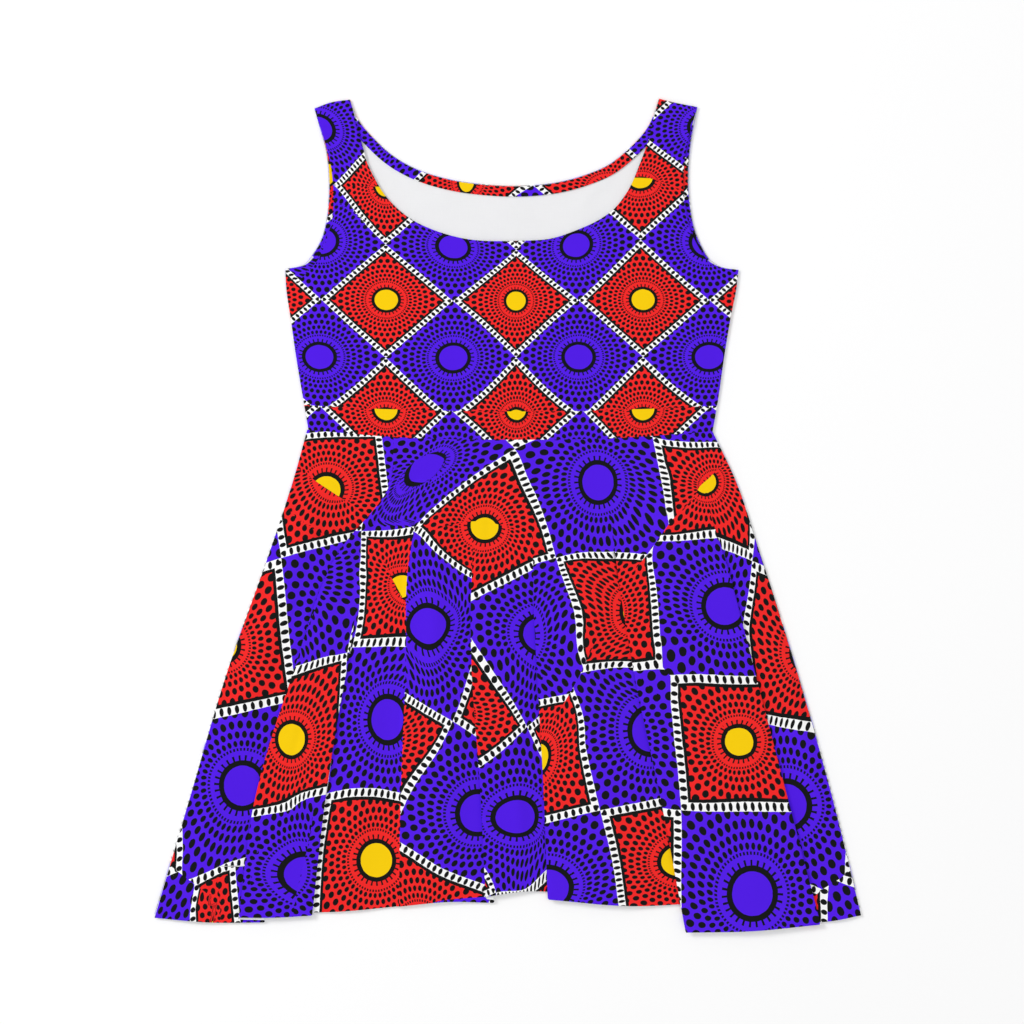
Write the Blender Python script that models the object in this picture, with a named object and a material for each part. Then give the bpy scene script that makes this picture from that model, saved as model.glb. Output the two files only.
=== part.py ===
"""Sleeveless skater dress in wax print cotton, laid flat on its back panel.

Metres, +Z up. The dress lies on the plane z = 0 with its neck towards +Y and its left-hand edge towards -X.
Tables are in millimetres. Each cut piece is one closed wall of cloth.
"""

import bpy
import numpy as np

# Driving dimensions, in millimetres.
WALL = 1.2            # cloth of the four panels
BAND_WALL = 1.0       # narrow facings
SEAM_GAP = 0.3        # clearance between two pieces that are sewn together
FACING_WIDTH = 11.0
FACING_INSET = 0.6    # how far a facing stays back from the edge it finishes
LAYER_PITCH = 1.7     # from one layer of a flattened fold to the next
FOLD_START_WIDTH = 8.0
BODICE_DOME = 3.0     # air under the middle of the bodice front
STRAP_LIFT = 1.5      # room for the facings between the two bodice panels

FRONT_LEVEL = WALL + SEAM_GAP + WALL / 2     # middle of the front cloth where it lies on the back
FOLD_HEIGHT = 2 * LAYER_PITCH

# Outlines, each from its first to its last point: x, y.
WAIST = [(-215.0, 92.5), (-116.5, 84.5), (0.0, 82.0), (121.0, 84.0), (220.5, 91.0)]
SIDE_LEFT = [(-215.0, 92.5), (-221.5, 130.5), (-229.5, 179.0), (-234.0, 211.5), (-239.0, 246.0), (-240.0, 266.5)]
SIDE_RIGHT = [(220.5, 91.0), (225.0, 116.5), (234.0, 178.0), (241.0, 219.0), (246.0, 244.0), (248.5, 265.5)]
ARMHOLE_LEFT_BACK = [
    (-240.0, 266.5), (-229.0, 268.5), (-219.0, 272.0), (-211.5, 281.0), (-202.0, 297.0), (-196.0, 317.5),
    (-193.5, 338.5), (-193.5, 371.5), (-196.5, 396.0), (-202.0, 416.0), (-208.5, 439.5),
]
ARMHOLE_LEFT_FRONT = [
    (-240.0, 266.5), (-229.0, 268.0), (-217.5, 271.5), (-207.5, 281.5), (-196.5, 298.0), (-190.5, 315.0),
    (-188.0, 335.5), (-188.5, 357.5), (-191.0, 379.0), (-195.5, 397.0), (-201.5, 416.5), (-208.5, 439.5),
]
ARMHOLE_RIGHT_BACK = [
    (248.5, 265.5), (234.5, 267.5), (219.0, 275.5), (208.0, 292.5), (200.5, 312.0), (196.5, 335.0),
    (194.5, 358.5), (195.0, 381.0), (197.5, 405.0), (201.5, 427.5), (204.0, 441.0),
]
ARMHOLE_RIGHT_FRONT = [
    (248.5, 265.5), (234.5, 267.0), (217.0, 274.5), (204.0, 292.5), (195.5, 312.0), (191.0, 335.0),
    (189.0, 358.5), (190.0, 381.0), (194.0, 405.0), (200.0, 427.5), (204.0, 441.0),
]
SHOULDER_LEFT = [(-208.5, 439.5), (-191.5, 445.8), (-170.5, 449.0)]
SHOULDER_RIGHT = [(163.0, 450.0), (176.5, 446.5), (204.0, 441.0)]
NECK_BACK = [
    (-170.5, 449.0), (-162.0, 428.5), (-143.5, 406.0), (-124.0, 388.5), (-97.0, 373.5), (-65.0, 363.5),
    (-25.0, 357.5), (24.5, 356.5), (54.0, 360.0), (82.0, 367.5), (107.0, 378.0), (128.5, 394.5),
    (151.5, 421.0), (163.0, 450.0),
]
NECK_FRONT = [
    (-170.5, 449.0), (-164.5, 418.5), (-147.0, 370.0), (-130.5, 343.0), (-104.0, 319.5), (-81.0, 308.5),
    (-48.0, 299.0), (9.5, 296.5), (49.0, 299.5), (74.0, 308.0), (97.0, 318.5), (114.0, 330.5),
    (128.0, 348.5), (143.5, 383.0), (157.5, 425.5), (163.0, 450.0),
]
HEM_BACK = [
    (-379.0, -430.0), (-332.5, -428.5), (-224.5, -420.5), (-116.5, -411.0), (2.0, -400.0), (99.5, -408.5),
    (196.5, -420.5), (294.0, -431.0), (378.0, -427.0),
]

# Lines that run down the skirt front, by their x at these fractions of the way from waist to hem.
FRACTIONS = (0.0, 0.1, 0.25, 0.5, 0.75, 1.0)
SIDE_LINES = {
    "left": (-216.5, -231.0, -257.0, -303.5, -342.4, -381.2),
    "right": (220.5, 245.0, 271.1, 312.1, 348.8, 380.8),
}
# Flattened folds from left to right. on_top: 1 if the cloth on the right lies on top, -1 if the left does.
# begins: where it starts to rise; closes: where its layers start to overlap; overlap: at the hem; height: of the step.
FOLDS = [
    # on_top, begins, closes, overlap, height, x at each of FRACTIONS
    (1, 0.05, 0.22, 26.0, FOLD_HEIGHT, (-129.6, -135.0, -183.6, -232.2, -272.2, -290.5)),
    (-1, 0.32, 0.48, 24.0, FOLD_HEIGHT, (-114.5, -118.8, -146.9, -175.0, -196.6, -211.7)),
    (1, 0.14, 2.00, 0.0, 1.6, (-46.0, -88.6, -108.0, -112.3, -117.2, -118.8)),
    (1, 0.18, 0.42, 7.0, FOLD_HEIGHT, (-30.0, -38.0, -40.0, -38.9, -30.2, -23.8)),
    (1, 0.20, 0.40, 16.0, FOLD_HEIGHT, (17.3, 20.5, 24.8, 31.3, 38.3, 43.2)),
    (1, 0.14, 0.30, 28.0, FOLD_HEIGHT, (95.0, 103.7, 116.1, 138.2, 166.3, 191.2)),
    (-1, 0.10, 0.32, 16.0, FOLD_HEIGHT, (198.7, 210.1, 233.3, 267.8, 302.4, 337.0)),
]
# The cloth between the folds, from left to right: y of the hem and the air under the middle.
PANELS = [
    # hem left, hem middle, hem right, air
    (-433.8, -438.7, -438.7, 1.6),
    (-433.3, -433.3, -431.1, 0.3),
    (-428.4, -426.8, -421.4, 1.2),
    (-421.4, -416.6, -417.6, 1.0),
    (-410.6, -405.2, -406.3, 0.8),
    (-413.9, -420.9, -417.1, 1.6),
    (-449.5, -447.9, -440.9, 0.8),
    (-439.8, -437.1, -431.1, 1.0),
]
PANEL_STEPS = 4
ARC_STEPS = 4
SKIRT_ROWS = 20

COLOURS = {
    "print": (0.30, 0.03, 0.28, 1.0),
    "reverse": (0.80, 0.80, 0.82, 1.0),
    "facing": (0.22, 0.03, 0.60, 1.0),
}


def smooth(value):
    """0 to 1 with level ends."""
    value = np.clip(value, 0.0, 1.0)
    return value * value * (3.0 - 2.0 * value)


def hermite(knots, values, at):
    """A smooth curve through the values at the knots, read off at the given places."""
    knots = np.asarray(knots, float)
    values = np.asarray(values, float)
    at = np.asarray(at, float)
    step = np.diff(knots)
    rise = np.diff(values, axis=0) / step.reshape(-1, *([1] * (values.ndim - 1)))
    slope = np.empty_like(values)
    slope[0] = rise[0]
    slope[-1] = rise[-1]
    for k in range(1, len(knots) - 1):
        share = step[k] / (step[k - 1] + step[k])
        slope[k] = rise[k - 1] * share + rise[k] * (1.0 - share)
    k = np.clip(np.searchsorted(knots, at, side="right") - 1, 0, len(step) - 1)
    shape = (-1, *([1] * (values.ndim - 1)))
    width = step[k].reshape(shape)
    t = ((at - knots[k]) / step[k]).reshape(shape)
    start = values[k] * (1 + 2 * t) * (1 - t) ** 2 + slope[k] * width * t * (1 - t) ** 2
    end = values[k + 1] * t * t * (3 - 2 * t) - slope[k + 1] * width * t * t * (1 - t)
    return start + end


def along(outline, at):
    """Points at the given fractions of the length of an outline."""
    outline = np.asarray(outline, float)
    knots = np.concatenate([[0.0], np.cumsum(np.linalg.norm(np.diff(outline, axis=0), axis=1))])
    return hermite(knots / knots[-1], outline, at)


def even(count):
    return np.linspace(0.0, 1.0, count + 1)


def joined(*pieces):
    """Polylines end to end, without the point that two of them share."""
    return np.concatenate([pieces[0]] + [piece[1:] for piece in pieces[1:]])


def filled(bottom, top, left, right):
    """A grid of points between four boundary curves: rows from bottom to top, columns from left to right."""
    u = even(len(bottom) - 1)[None, :, None]
    v = even(len(left) - 1)[:, None, None]
    across = (1 - u) * left[:, None] + u * right[:, None]
    up = (1 - v) * bottom[None] + v * top[None]
    corners = (1 - u) * (1 - v) * bottom[0] + u * (1 - v) * bottom[-1] + (1 - u) * v * top[0] + u * v * top[-1]
    return across + up - corners


def normals_of(grid):
    across = np.gradient(grid, axis=1)
    up = np.gradient(grid, axis=0)
    normal = np.cross(across, up)
    return normal / np.linalg.norm(normal, axis=2, keepdims=True)


def wall(name, grid, thickness, colour):
    """A closed wall of cloth of even thickness around a grid of middle points."""
    rows, columns = grid.shape[:2]
    offset = normals_of(grid) * (thickness / 2)
    points = np.concatenate([(grid + offset).reshape(-1, 3), (grid - offset).reshape(-1, 3)])
    index = np.arange(rows * columns).reshape(rows, columns)
    under = index + rows * columns
    a, b, c, d = index[:-1, :-1], index[:-1, 1:], index[1:, 1:], index[1:, :-1]
    faces = [np.stack([a, b, c, d], axis=-1).reshape(-1, 4)]
    faces.append(np.stack([a, d, c, b], axis=-1).reshape(-1, 4) + rows * columns)
    loop = np.concatenate([index[0, :-1], index[:-1, -1], index[-1, :0:-1], index[:0:-1, 0]])
    low = np.concatenate([under[0, :-1], under[:-1, -1], under[-1, :0:-1], under[:0:-1, 0]])
    faces.append(np.stack([loop, low, np.roll(low, -1), np.roll(loop, -1)], axis=-1))
    mesh = bpy.data.meshes.new(name)
    mesh.from_pydata((points / 1000.0).tolist(), [], np.concatenate(faces).tolist())
    mesh.update()
    node = bpy.data.objects.new(name, mesh)
    bpy.context.collection.objects.link(node)
    material = bpy.data.materials.new(name + "_cloth")
    material.use_nodes = True
    shader = material.node_tree.nodes["Principled BSDF"]
    shader.inputs["Base Color"].default_value = COLOURS[colour]
    shader.inputs["Roughness"].default_value = 0.85
    mesh.materials.append(material)
    return node


def bodice_plan(neck, armhole_left, armhole_right):
    """The plan of one bodice panel as a grid: waist at the bottom, straps and neckline at the top."""
    strap, scoop, side, armhole = 3, 16, 5, 9
    columns = strap + scoop + strap
    bottom = along(WAIST, even(columns))
    top = joined(
        along(SHOULDER_LEFT, even(strap)), along(neck, even(scoop)), along(SHOULDER_RIGHT, even(strap))
    )
    left = joined(along(SIDE_LEFT, even(side)), along(armhole_left, even(armhole)))
    right = joined(along(SIDE_RIGHT, even(side)), along(armhole_right, even(armhole)))
    bottom = bottom + [0.0, SEAM_GAP]
    left[0] = bottom[0]
    right[0] = bottom[-1]
    return filled(bottom, top, left, right), strap, side


def bodice_lift(plan, strap, side):
    """How far the front stands off the back: nothing along the seams, more over the facings and in the middle."""
    rows, columns = plan.shape[:2]
    v = np.arange(rows)[:, None] / (rows - 1.0)
    u = np.arange(columns)[None, :] / (columns - 1.0)
    seam_top = side / (rows - 1.0)
    from_side = smooth(np.minimum(u, 1 - u) / 0.07)
    above_seam = smooth((v - seam_top) / 0.054)
    at_sides = from_side + (1 - from_side) * above_seam
    from_waist = smooth(v / 0.14)
    shoulder = np.minimum(u, 1 - u) <= (strap + 0.5) / (columns - 1.0)
    from_shoulder = np.where(shoulder, smooth((1 - v) / 0.045), 1.0)
    flat = at_sides * from_waist * from_shoulder
    body = (np.sin(np.pi * u) * np.sin(np.pi * v)) ** 2
    return STRAP_LIFT * flat + BODICE_DOME * body


def build_bodice():
    plan, strap, side = bodice_plan(NECK_BACK, ARMHOLE_LEFT_BACK, ARMHOLE_RIGHT_BACK)
    level = np.full((*plan.shape[:2], 1), WALL / 2)
    wall("bodice_back", np.concatenate([plan, level], axis=2), WALL, "reverse")
    plan, strap, side = bodice_plan(NECK_FRONT, ARMHOLE_LEFT_FRONT, ARMHOLE_RIGHT_FRONT)
    level = FRONT_LEVEL + bodice_lift(plan, strap, side)
    wall("bodice_front", np.concatenate([plan, level[:, :, None]], axis=2), WALL, "print")


def build_facing(name, outline, first, last, inward, count):
    """A strip of constant width on the inside of the back, along part of one edge."""
    edge = along(outline, np.linspace(first, last, count + 1))
    direction = np.gradient(edge, axis=0)
    direction /= np.linalg.norm(direction, axis=1, keepdims=True)
    side = np.stack([-direction[:, 1], direction[:, 0]], axis=1) * inward
    level = np.full((count + 1, 1), WALL + SEAM_GAP + BAND_WALL / 2)
    rows = []
    for distance in np.linspace(FACING_INSET, FACING_WIDTH, 4):
        rows.append(np.concatenate([edge + side * distance, level], axis=1))
    grid = np.stack(rows[::-1] if inward < 0 else rows)
    wall(name, grid, BAND_WALL, "facing")


def fold_section(overlap, height, closing):
    """Offsets across and up through one fold, for a fold whose right side lies on top.

    closing runs from 0, a soft step, to 1, where the cloth doubles back on itself.
    """
    angle = np.linspace(-90.0, 90.0, ARC_STEPS + 1) * np.pi / 180
    radius = height / 4
    half = max(overlap, 0.0) / 2
    first = np.stack([half + radius * np.cos(angle), radius * (1 + np.sin(angle))], axis=1)
    second = np.stack([-half - radius * np.cos(angle), radius * (3 + np.sin(angle))], axis=1)
    middle = np.array([[0.0, height / 2]])
    folded = np.concatenate([first, middle, second])
    t = even(len(folded) - 1)
    step = np.stack([(t - 0.5) * FOLD_START_WIDTH, height * smooth(t)], axis=1)
    return step * (1 - closing) + folded * closing


def skirt_front_grid(rows, panel_steps):
    """Middle points of the skirt front: each row runs across all eight panels and through the seven folds."""
    grid = []
    for v in even(rows):
        left = float(hermite(FRACTIONS, SIDE_LINES["left"], [v])[0])
        right = float(hermite(FRACTIONS, SIDE_LINES["right"], [v])[0])
        crossings = []
        for on_top, begins, closes, overlap, height, line in FOLDS:
            rise = float(smooth((v - begins) / 0.22)) * height
            closing = float(smooth((v - begins) / (closes - begins)))
            lap = overlap * float(np.clip((v - closes) / (1 - closes), 0.0, 1.0)) ** 0.7
            centre = float(hermite(FRACTIONS, line, [v])[0]) + on_top * (lap / 2 + closing * height / 4)
            section = fold_section(lap, rise, closing)
            if on_top < 0:
                section[:, 1] = rise - section[:, 1]
            crossings.append((on_top, lap, rise, section + [centre, 0.0]))
        points = []
        for k, (hem_left, hem_middle, hem_right, air) in enumerate(PANELS):
            before = crossings[k - 1] if k else None
            after = crossings[k] if k < len(crossings) else None
            start = before[3][-1] if before else np.array([left, 0.0])
            stop = after[3][0] if after else np.array([right, 0.0])
            span = stop[0] - start[0]
            clear_start = (before[1] + 5.0) / span if before else 0.0
            clear_stop = 1 - (after[1] + 5.0) / span if after else 1.0
            clear_start = min(clear_start, 0.45)
            clear_stop = max(clear_stop, 0.55)
            s = even(panel_steps)
            if v > 0:
                first = clear_start if before else 0.2
                last = clear_stop if after else 0.8
                inner = np.linspace(first, last, panel_steps - 1)
                mixed = np.concatenate([[0.0], inner, [1.0]])
                s = s + (mixed - s) * float(smooth(v / 0.4))
            free = (s - clear_start) / (clear_stop - clear_start)
            x = start[0] + span * s
            z = start[1] + (stop[1] - start[1]) * smooth(free)
            z = z + air * float(smooth(v / 0.4)) * np.sin(np.pi * np.clip(free, 0, 1)) ** 2
            hem = hermite([0.0, 0.5, 1.0], [hem_left, hem_middle, hem_right], s)
            points.append(np.stack([x, hem, z], axis=1))
            if after:
                section = after[3][1:-1]
                share = even(len(section) + 1)[1:-1]
                turn = hem_right + (PANELS[k + 1][0] - hem_right) * share
                points.append(np.stack([section[:, 0], turn, section[:, 1]], axis=1))
        points = np.concatenate(points)
        waist = hermite(np.array(WAIST)[:, 0], np.array(WAIST)[:, 1], np.clip(points[:, 0], -215.0, 220.5))
        y = waist + (points[:, 1] - waist) * v
        grid.append(np.stack([points[:, 0], y, FRONT_LEVEL + points[:, 2]], axis=1))
    return np.stack(grid)


def build_skirt():
    rows, columns = 14, 24
    fraction = even(rows)
    across = even(columns)
    waist = along(WAIST, across)
    hem = along(HEM_BACK, across)
    left_y = waist[0, 1] + (hem[0, 1] - waist[0, 1]) * fraction
    right_y = waist[-1, 1] + (hem[-1, 1] - waist[-1, 1]) * fraction
    left = np.stack([hermite(FRACTIONS, SIDE_LINES["left"], fraction), left_y], axis=1)
    right = np.stack([hermite(FRACTIONS, SIDE_LINES["right"], fraction), right_y], axis=1)
    waist[0] = left[0]
    waist[-1] = right[0]
    hem[0] = left[-1]
    hem[-1] = right[-1]
    plan = filled(hem, waist, left[::-1], right[::-1])
    level = np.full((*plan.shape[:2], 1), WALL / 2)
    wall("skirt_back", np.concatenate([plan, level], axis=2), WALL, "reverse")
    front = skirt_front_grid(SKIRT_ROWS, PANEL_STEPS)
    wall("skirt_front", front[::-1], WALL, "print")


for old in list(bpy.data.objects):
    bpy.data.objects.remove(old, do_unlink=True)

build_bodice()
build_skirt()
build_facing("neck_facing_back", NECK_BACK, 0.05, 0.95, -1, 44)
build_facing("armhole_facing_left", ARMHOLE_LEFT_BACK, 0.17, 0.90, -1, 22)
build_facing("armhole_facing_right", ARMHOLE_RIGHT_BACK, 0.17, 0.90, 1, 22)
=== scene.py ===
"""Looks of the laid-out wax print dress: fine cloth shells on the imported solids, a drawn print, soft light.

Tables are in millimetres unless they say otherwise; the shells are written in metres.
"""

import math
from functools import partial

import bpy
import numpy as np
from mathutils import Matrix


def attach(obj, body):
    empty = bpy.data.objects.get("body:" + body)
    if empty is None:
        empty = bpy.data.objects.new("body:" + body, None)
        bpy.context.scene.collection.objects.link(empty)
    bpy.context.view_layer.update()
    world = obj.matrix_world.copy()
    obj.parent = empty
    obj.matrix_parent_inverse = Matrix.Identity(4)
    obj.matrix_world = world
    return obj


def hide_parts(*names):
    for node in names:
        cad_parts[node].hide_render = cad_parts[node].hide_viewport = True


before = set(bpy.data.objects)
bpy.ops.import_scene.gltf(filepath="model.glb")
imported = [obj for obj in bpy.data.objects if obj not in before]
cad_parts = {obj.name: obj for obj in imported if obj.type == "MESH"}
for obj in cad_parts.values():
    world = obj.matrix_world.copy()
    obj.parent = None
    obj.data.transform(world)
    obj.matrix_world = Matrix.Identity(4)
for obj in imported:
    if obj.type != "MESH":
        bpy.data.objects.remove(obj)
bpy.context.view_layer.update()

# --- sizes of the solids, as the CAD has them ---

WALL, SEAM_GAP = 1.2, 0.3
BAND_WALL, FACING_WIDTH, FACING_INSET = 1.0, 11.0, 0.6
LAYER_PITCH, FOLD_START_WIDTH = 1.7, 8.0
BODICE_DOME, STRAP_LIFT = 3.0, 1.5
FRONT_LEVEL = WALL + SEAM_GAP + WALL / 2
FOLD_HEIGHT = 2 * LAYER_PITCH
CLOTH = 0.8  # thickness of the shells

WAIST = [(-215, 92.5), (-116.5, 84.5), (0, 82), (121, 84), (220.5, 91)]
SIDE_LEFT = [(-215, 92.5), (-221.5, 130.5), (-229.5, 179), (-234, 211.5), (-239, 246), (-240, 266.5)]
SIDE_RIGHT = [(220.5, 91), (225, 116.5), (234, 178), (241, 219), (246, 244), (248.5, 265.5)]
ARMHOLE_LEFT_BACK = [
    (-240, 266.5), (-229, 268.5), (-219, 272), (-211.5, 281), (-202, 297), (-196, 317.5),
    (-193.5, 338.5), (-193.5, 371.5), (-196.5, 396), (-202, 416), (-208.5, 439.5),
]
ARMHOLE_LEFT_FRONT = [
    (-240, 266.5), (-229, 268), (-217.5, 271.5), (-207.5, 281.5), (-196.5, 298), (-190.5, 315),
    (-188, 335.5), (-188.5, 357.5), (-191, 379), (-195.5, 397), (-201.5, 416.5), (-208.5, 439.5),
]
ARMHOLE_RIGHT_BACK = [
    (248.5, 265.5), (234.5, 267.5), (219, 275.5), (208, 292.5), (200.5, 312), (196.5, 335),
    (194.5, 358.5), (195, 381), (197.5, 405), (201.5, 427.5), (204, 441),
]
ARMHOLE_RIGHT_FRONT = [
    (248.5, 265.5), (234.5, 267), (217, 274.5), (204, 292.5), (195.5, 312), (191, 335),
    (189, 358.5), (190, 381), (194, 405), (200, 427.5), (204, 441),
]
SHOULDER_LEFT = [(-208.5, 439.5), (-191.5, 445.8), (-170.5, 449)]
SHOULDER_RIGHT = [(163, 450), (176.5, 446.5), (204, 441)]
NECK_BACK = [
    (-170.5, 449), (-162, 428.5), (-143.5, 406), (-124, 388.5), (-97, 373.5), (-65, 363.5),
    (-25, 357.5), (24.5, 356.5), (54, 360), (82, 367.5), (107, 378), (128.5, 394.5),
    (151.5, 421), (163, 450),
]
NECK_FRONT = [
    (-170.5, 449), (-164.5, 418.5), (-147, 370), (-130.5, 343), (-104, 319.5), (-81, 308.5),
    (-48, 299), (9.5, 296.5), (49, 299.5), (74, 308), (97, 318.5), (114, 330.5),
    (128, 348.5), (143.5, 383), (157.5, 425.5), (163, 450),
]
HEM_BACK = [
    (-379, -430), (-332.5, -428.5), (-224.5, -420.5), (-116.5, -411), (2, -400), (99.5, -408.5),
    (196.5, -420.5), (294, -431), (378, -427),
]
FRACTIONS = (0, 0.1, 0.25, 0.5, 0.75, 1)
SIDE_LINES = {
    "left": (-216.5, -231, -257, -303.5, -342.4, -381.2),
    "right": (220.5, 245, 271.1, 312.1, 348.8, 380.8),
}
FOLDS = [
    # on_top, begins, closes, overlap, height, x at each of FRACTIONS
    (1, 0.05, 0.22, 26, FOLD_HEIGHT, (-125.6, -130, -183.6, -232.2, -272.2, -290.5)),
    (-1, 0.32, 0.48, 24, FOLD_HEIGHT, (-113.5, -118, -146.9, -175, -196.6, -211.7)),
    (1, 0.14, 2, 0, 1.6, (-46, -88.6, -108, -112.3, -117.2, -118.8)),
    (1, 0.18, 0.42, 7, FOLD_HEIGHT, (-30, -38, -40, -38.9, -30.2, -23.8)),
    (1, 0.20, 0.40, 16, FOLD_HEIGHT, (17.3, 20.5, 24.8, 31.3, 38.3, 43.2)),
    (1, 0.14, 0.30, 28, FOLD_HEIGHT, (95, 103.7, 116.1, 138.2, 166.3, 191.2)),
    (-1, 0.10, 0.32, 16, FOLD_HEIGHT, (198.7, 210.1, 233.3, 267.8, 302.4, 337)),
]
PANELS = [
    # hem left, hem middle, hem right, air
    (-433.8, -438.7, -438.7, 1.6),
    (-433.3, -433.3, -431.1, 0.3),
    (-428.4, -426.8, -421.4, 1.2),
    (-421.4, -416.6, -417.6, 1),
    (-410.6, -405.2, -406.3, 0.8),
    (-413.9, -420.9, -417.1, 1.6),
    (-449.5, -447.9, -440.9, 0.8),
    (-439.8, -437.1, -431.1, 1),
]

# --- the print ---

# The repeat is a board of squares, one motif in each. A place on the board is (p, q), with a square's middle
# at whole numbers; even squares are red, odd ones purple. Charts say where the board lies on each piece of
# cloth, by a few corners and middles: p, q, x, y on a chart of CHART_UNIT mm with its origin at top left.
CHART_UNIT = 1.08
CHART_ORIGIN = (508.0, 515.8)

# Where the skirt is still one smooth cloth, under the waist.
TOP_CHART = [
    (-0.5, -0.5, 268, 440), (0.5, -0.5, 381, 430), (0.5, -0.2, 385, 462), (0.5, 0.5, 361.5, 531),
    (1, 0, 426.5, 468), (0.85, 0, 414.2, 469.1), (1.15, 0, 438.8, 467), (1, 0.15, 416.2, 479.8),
    (1, -0.15, 436.8, 456.2), (1.5, -0.5, 515, 449), (1.75, -0.5, 527, 476), (1.5, 0.5, 413, 531),
    (1.5, 0, 456, 489), (2.5, -0.5, 555, 558), (1.5, -1.5, 652.5, 437), (1.8, -1.5, 659, 470),
    (2.5, -1.5, 659.7, 545.2), (1.5, -2.5, 762, 449), (2.5, -2.5, 752, 561), (2.5, 0.5, 470, 603),
    (0.5, 1.5, 350, 647), (1.5, 1.5, 404, 646), (-0.5, 0.5, 281, 558),
]
SKIRT_CHARTS = [
    [(-0.5, -0.5, 268, 440), (0.5, -0.5, 381, 430), (0.5, -0.2, 385, 462), (0.5, 0.5, 396, 529),
     (-0.5, 0.5, 281.4, 558), (0, 0.5, 340, 542.5), (-0.5, 0.8, 286, 600), (-0.5, 1.5, 297, 700),
     (0, 1, 358, 620), (-1.5, 1.5, 164, 731), (-1, 1.5, 230, 715.5), (-1.5, 2.5, 188.5, 873.8),
     (-1, 2.5, 239, 859), (-0.5, 2.5, 305, 842), (-1.5, 2.2, 183, 832)],
    [(0.5, -0.5, 381, 430), (1, 0, 427, 469), (0.5, 0.5, 361.5, 531), (0.5, 1, 357.6, 592),
     (0.5, 1.5, 347.5, 652.5), (0, 1, 321, 594), (-0.5, 1, 289, 600), (0, 1.5, 302, 664),
     (-0.5, 1.5, 250, 677), (0.5, 1.8, 346, 690), (0.5, 2.2, 343, 745), (0.5, 2.5, 340, 791),
     (-0.5, 2.5, 236, 820), (-0.3, 2.5, 262, 815), (0, 2.5, 291, 809), (0.12, 2.5, 300, 801.5),
     (0.25, 2.5, 309, 798), (-0.5, 3.25, 238.5, 905)],
    [(0.5, -0.5, 381, 430), (0.5, 0.5, 361.5, 531), (1, 0.5, 413, 526.5), (0.5, 0.8, 361, 560),
     (0.5, 1.5, 352, 647.5), (1, 1.5, 406, 646.7), (0.5, 2.5, 326.5, 793.3), (0.67, 2.5, 346, 789),
     (1, 2.5, 383, 789), (1.15, 2.5, 398, 792.4), (0.5, 3.5, 311, 936)],
    [(1.5, -0.5, 515, 449), (1.5, 0.5, 413, 531), (2.5, 0.5, 489, 589), (2, 0.5, 449, 563),
     (2.5, -0.5, 555, 558), (2.5, 1.1, 470, 670), (2.5, 1.27, 463, 693), (2.5, 1.5, 452.5, 721),
     (1.5, 1.5, 370, 670), (1.85, 1.5, 404, 691.4), (2, 2, 368, 744), (2.5, 2, 418, 780),
     (2.5, 2.5, 391, 836), (3, 2.5, 442, 868), (2.75, 2.5, 418, 853), (3.5, 2.5, 495, 889),
     (3, 3, 421, 934), (2.5, 3, 366, 896)],
    [(1.5, -0.5, 515, 449), (2.5, -0.5, 555, 558), (1.5, 0.5, 413, 531), (2.5, 0.5, 453, 612),
     (2.7, 0.5, 471, 638), (2.5, 0, 509, 582), (3, 0.5, 503, 686), (3.5, 0.5, 527, 726.5),
     (3.5, -0.5, 579, 676), (3, 1, 438, 706), (3.5, 1.5, 437, 795), (4.5, 0.72, 547, 869),
     (4.5, 1.05, 524, 889.5), (4.5, 1.5, 496, 892), (4, 1.5, 470, 850), (4.5, 0.2, 575, 853)],
    [(1.5, -0.5, 515, 449), (1.5, -1.5, 652.5, 437), (2.5, -0.5, 556, 558), (2.5, -1.5, 659.7, 545.2),
     (2.5, -1, 607, 552), (3, -0.5, 570.6, 600), (3.2, -0.5, 576, 628), (3.5, -0.5, 579, 682),
     (3.5, 0, 537.4, 699), (3.5, -1.5, 666, 668), (3.5, -1, 619, 667.5), (4, -0.5, 585, 742),
     (4.5, -0.5, 600, 810), (4.5, -1.5, 705, 790), (4.5, -1, 659.4, 798.2), (5, -0.5, 613.5, 868),
     (5.5, -0.5, 620, 915)],
    [(1.5, -1.5, 652.5, 437), (1.8, -1.5, 659, 470), (2.5, -1.5, 659.7, 545.2), (2, -1.5, 661, 500),
     (2.5, -2, 711, 538.7), (2.5, -2.5, 772, 538.7), (2.6, -1.5, 655.5, 560), (3, -1.5, 657.5, 600),
     (3.3, -1.5, 660, 635), (3.5, -1.5, 666.8, 672.4), (3.5, -2.5, 797, 676), (4, -1.5, 674, 739),
     (4.5, -1.5, 681, 810), (4.5, -2.5, 808, 812), (5.5, -1.5, 681, 955), (5, -1.5, 681, 880),
     (2.5, -1, 610, 551.5)],
    [(1.5, -1.5, 652.5, 437), (1.5, -2.5, 762, 449), (2.5, -2, 716, 547.5), (2.5, -2.5, 752, 561),
     (3, -2.5, 742.5, 630), (3.5, -2.5, 748, 719.5), (3.5, -3, 791, 729), (3.5, -3.5, 865, 746),
     (4.5, -3, 775, 873), (4.5, -3.5, 834.5, 886.7)],
]
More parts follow.
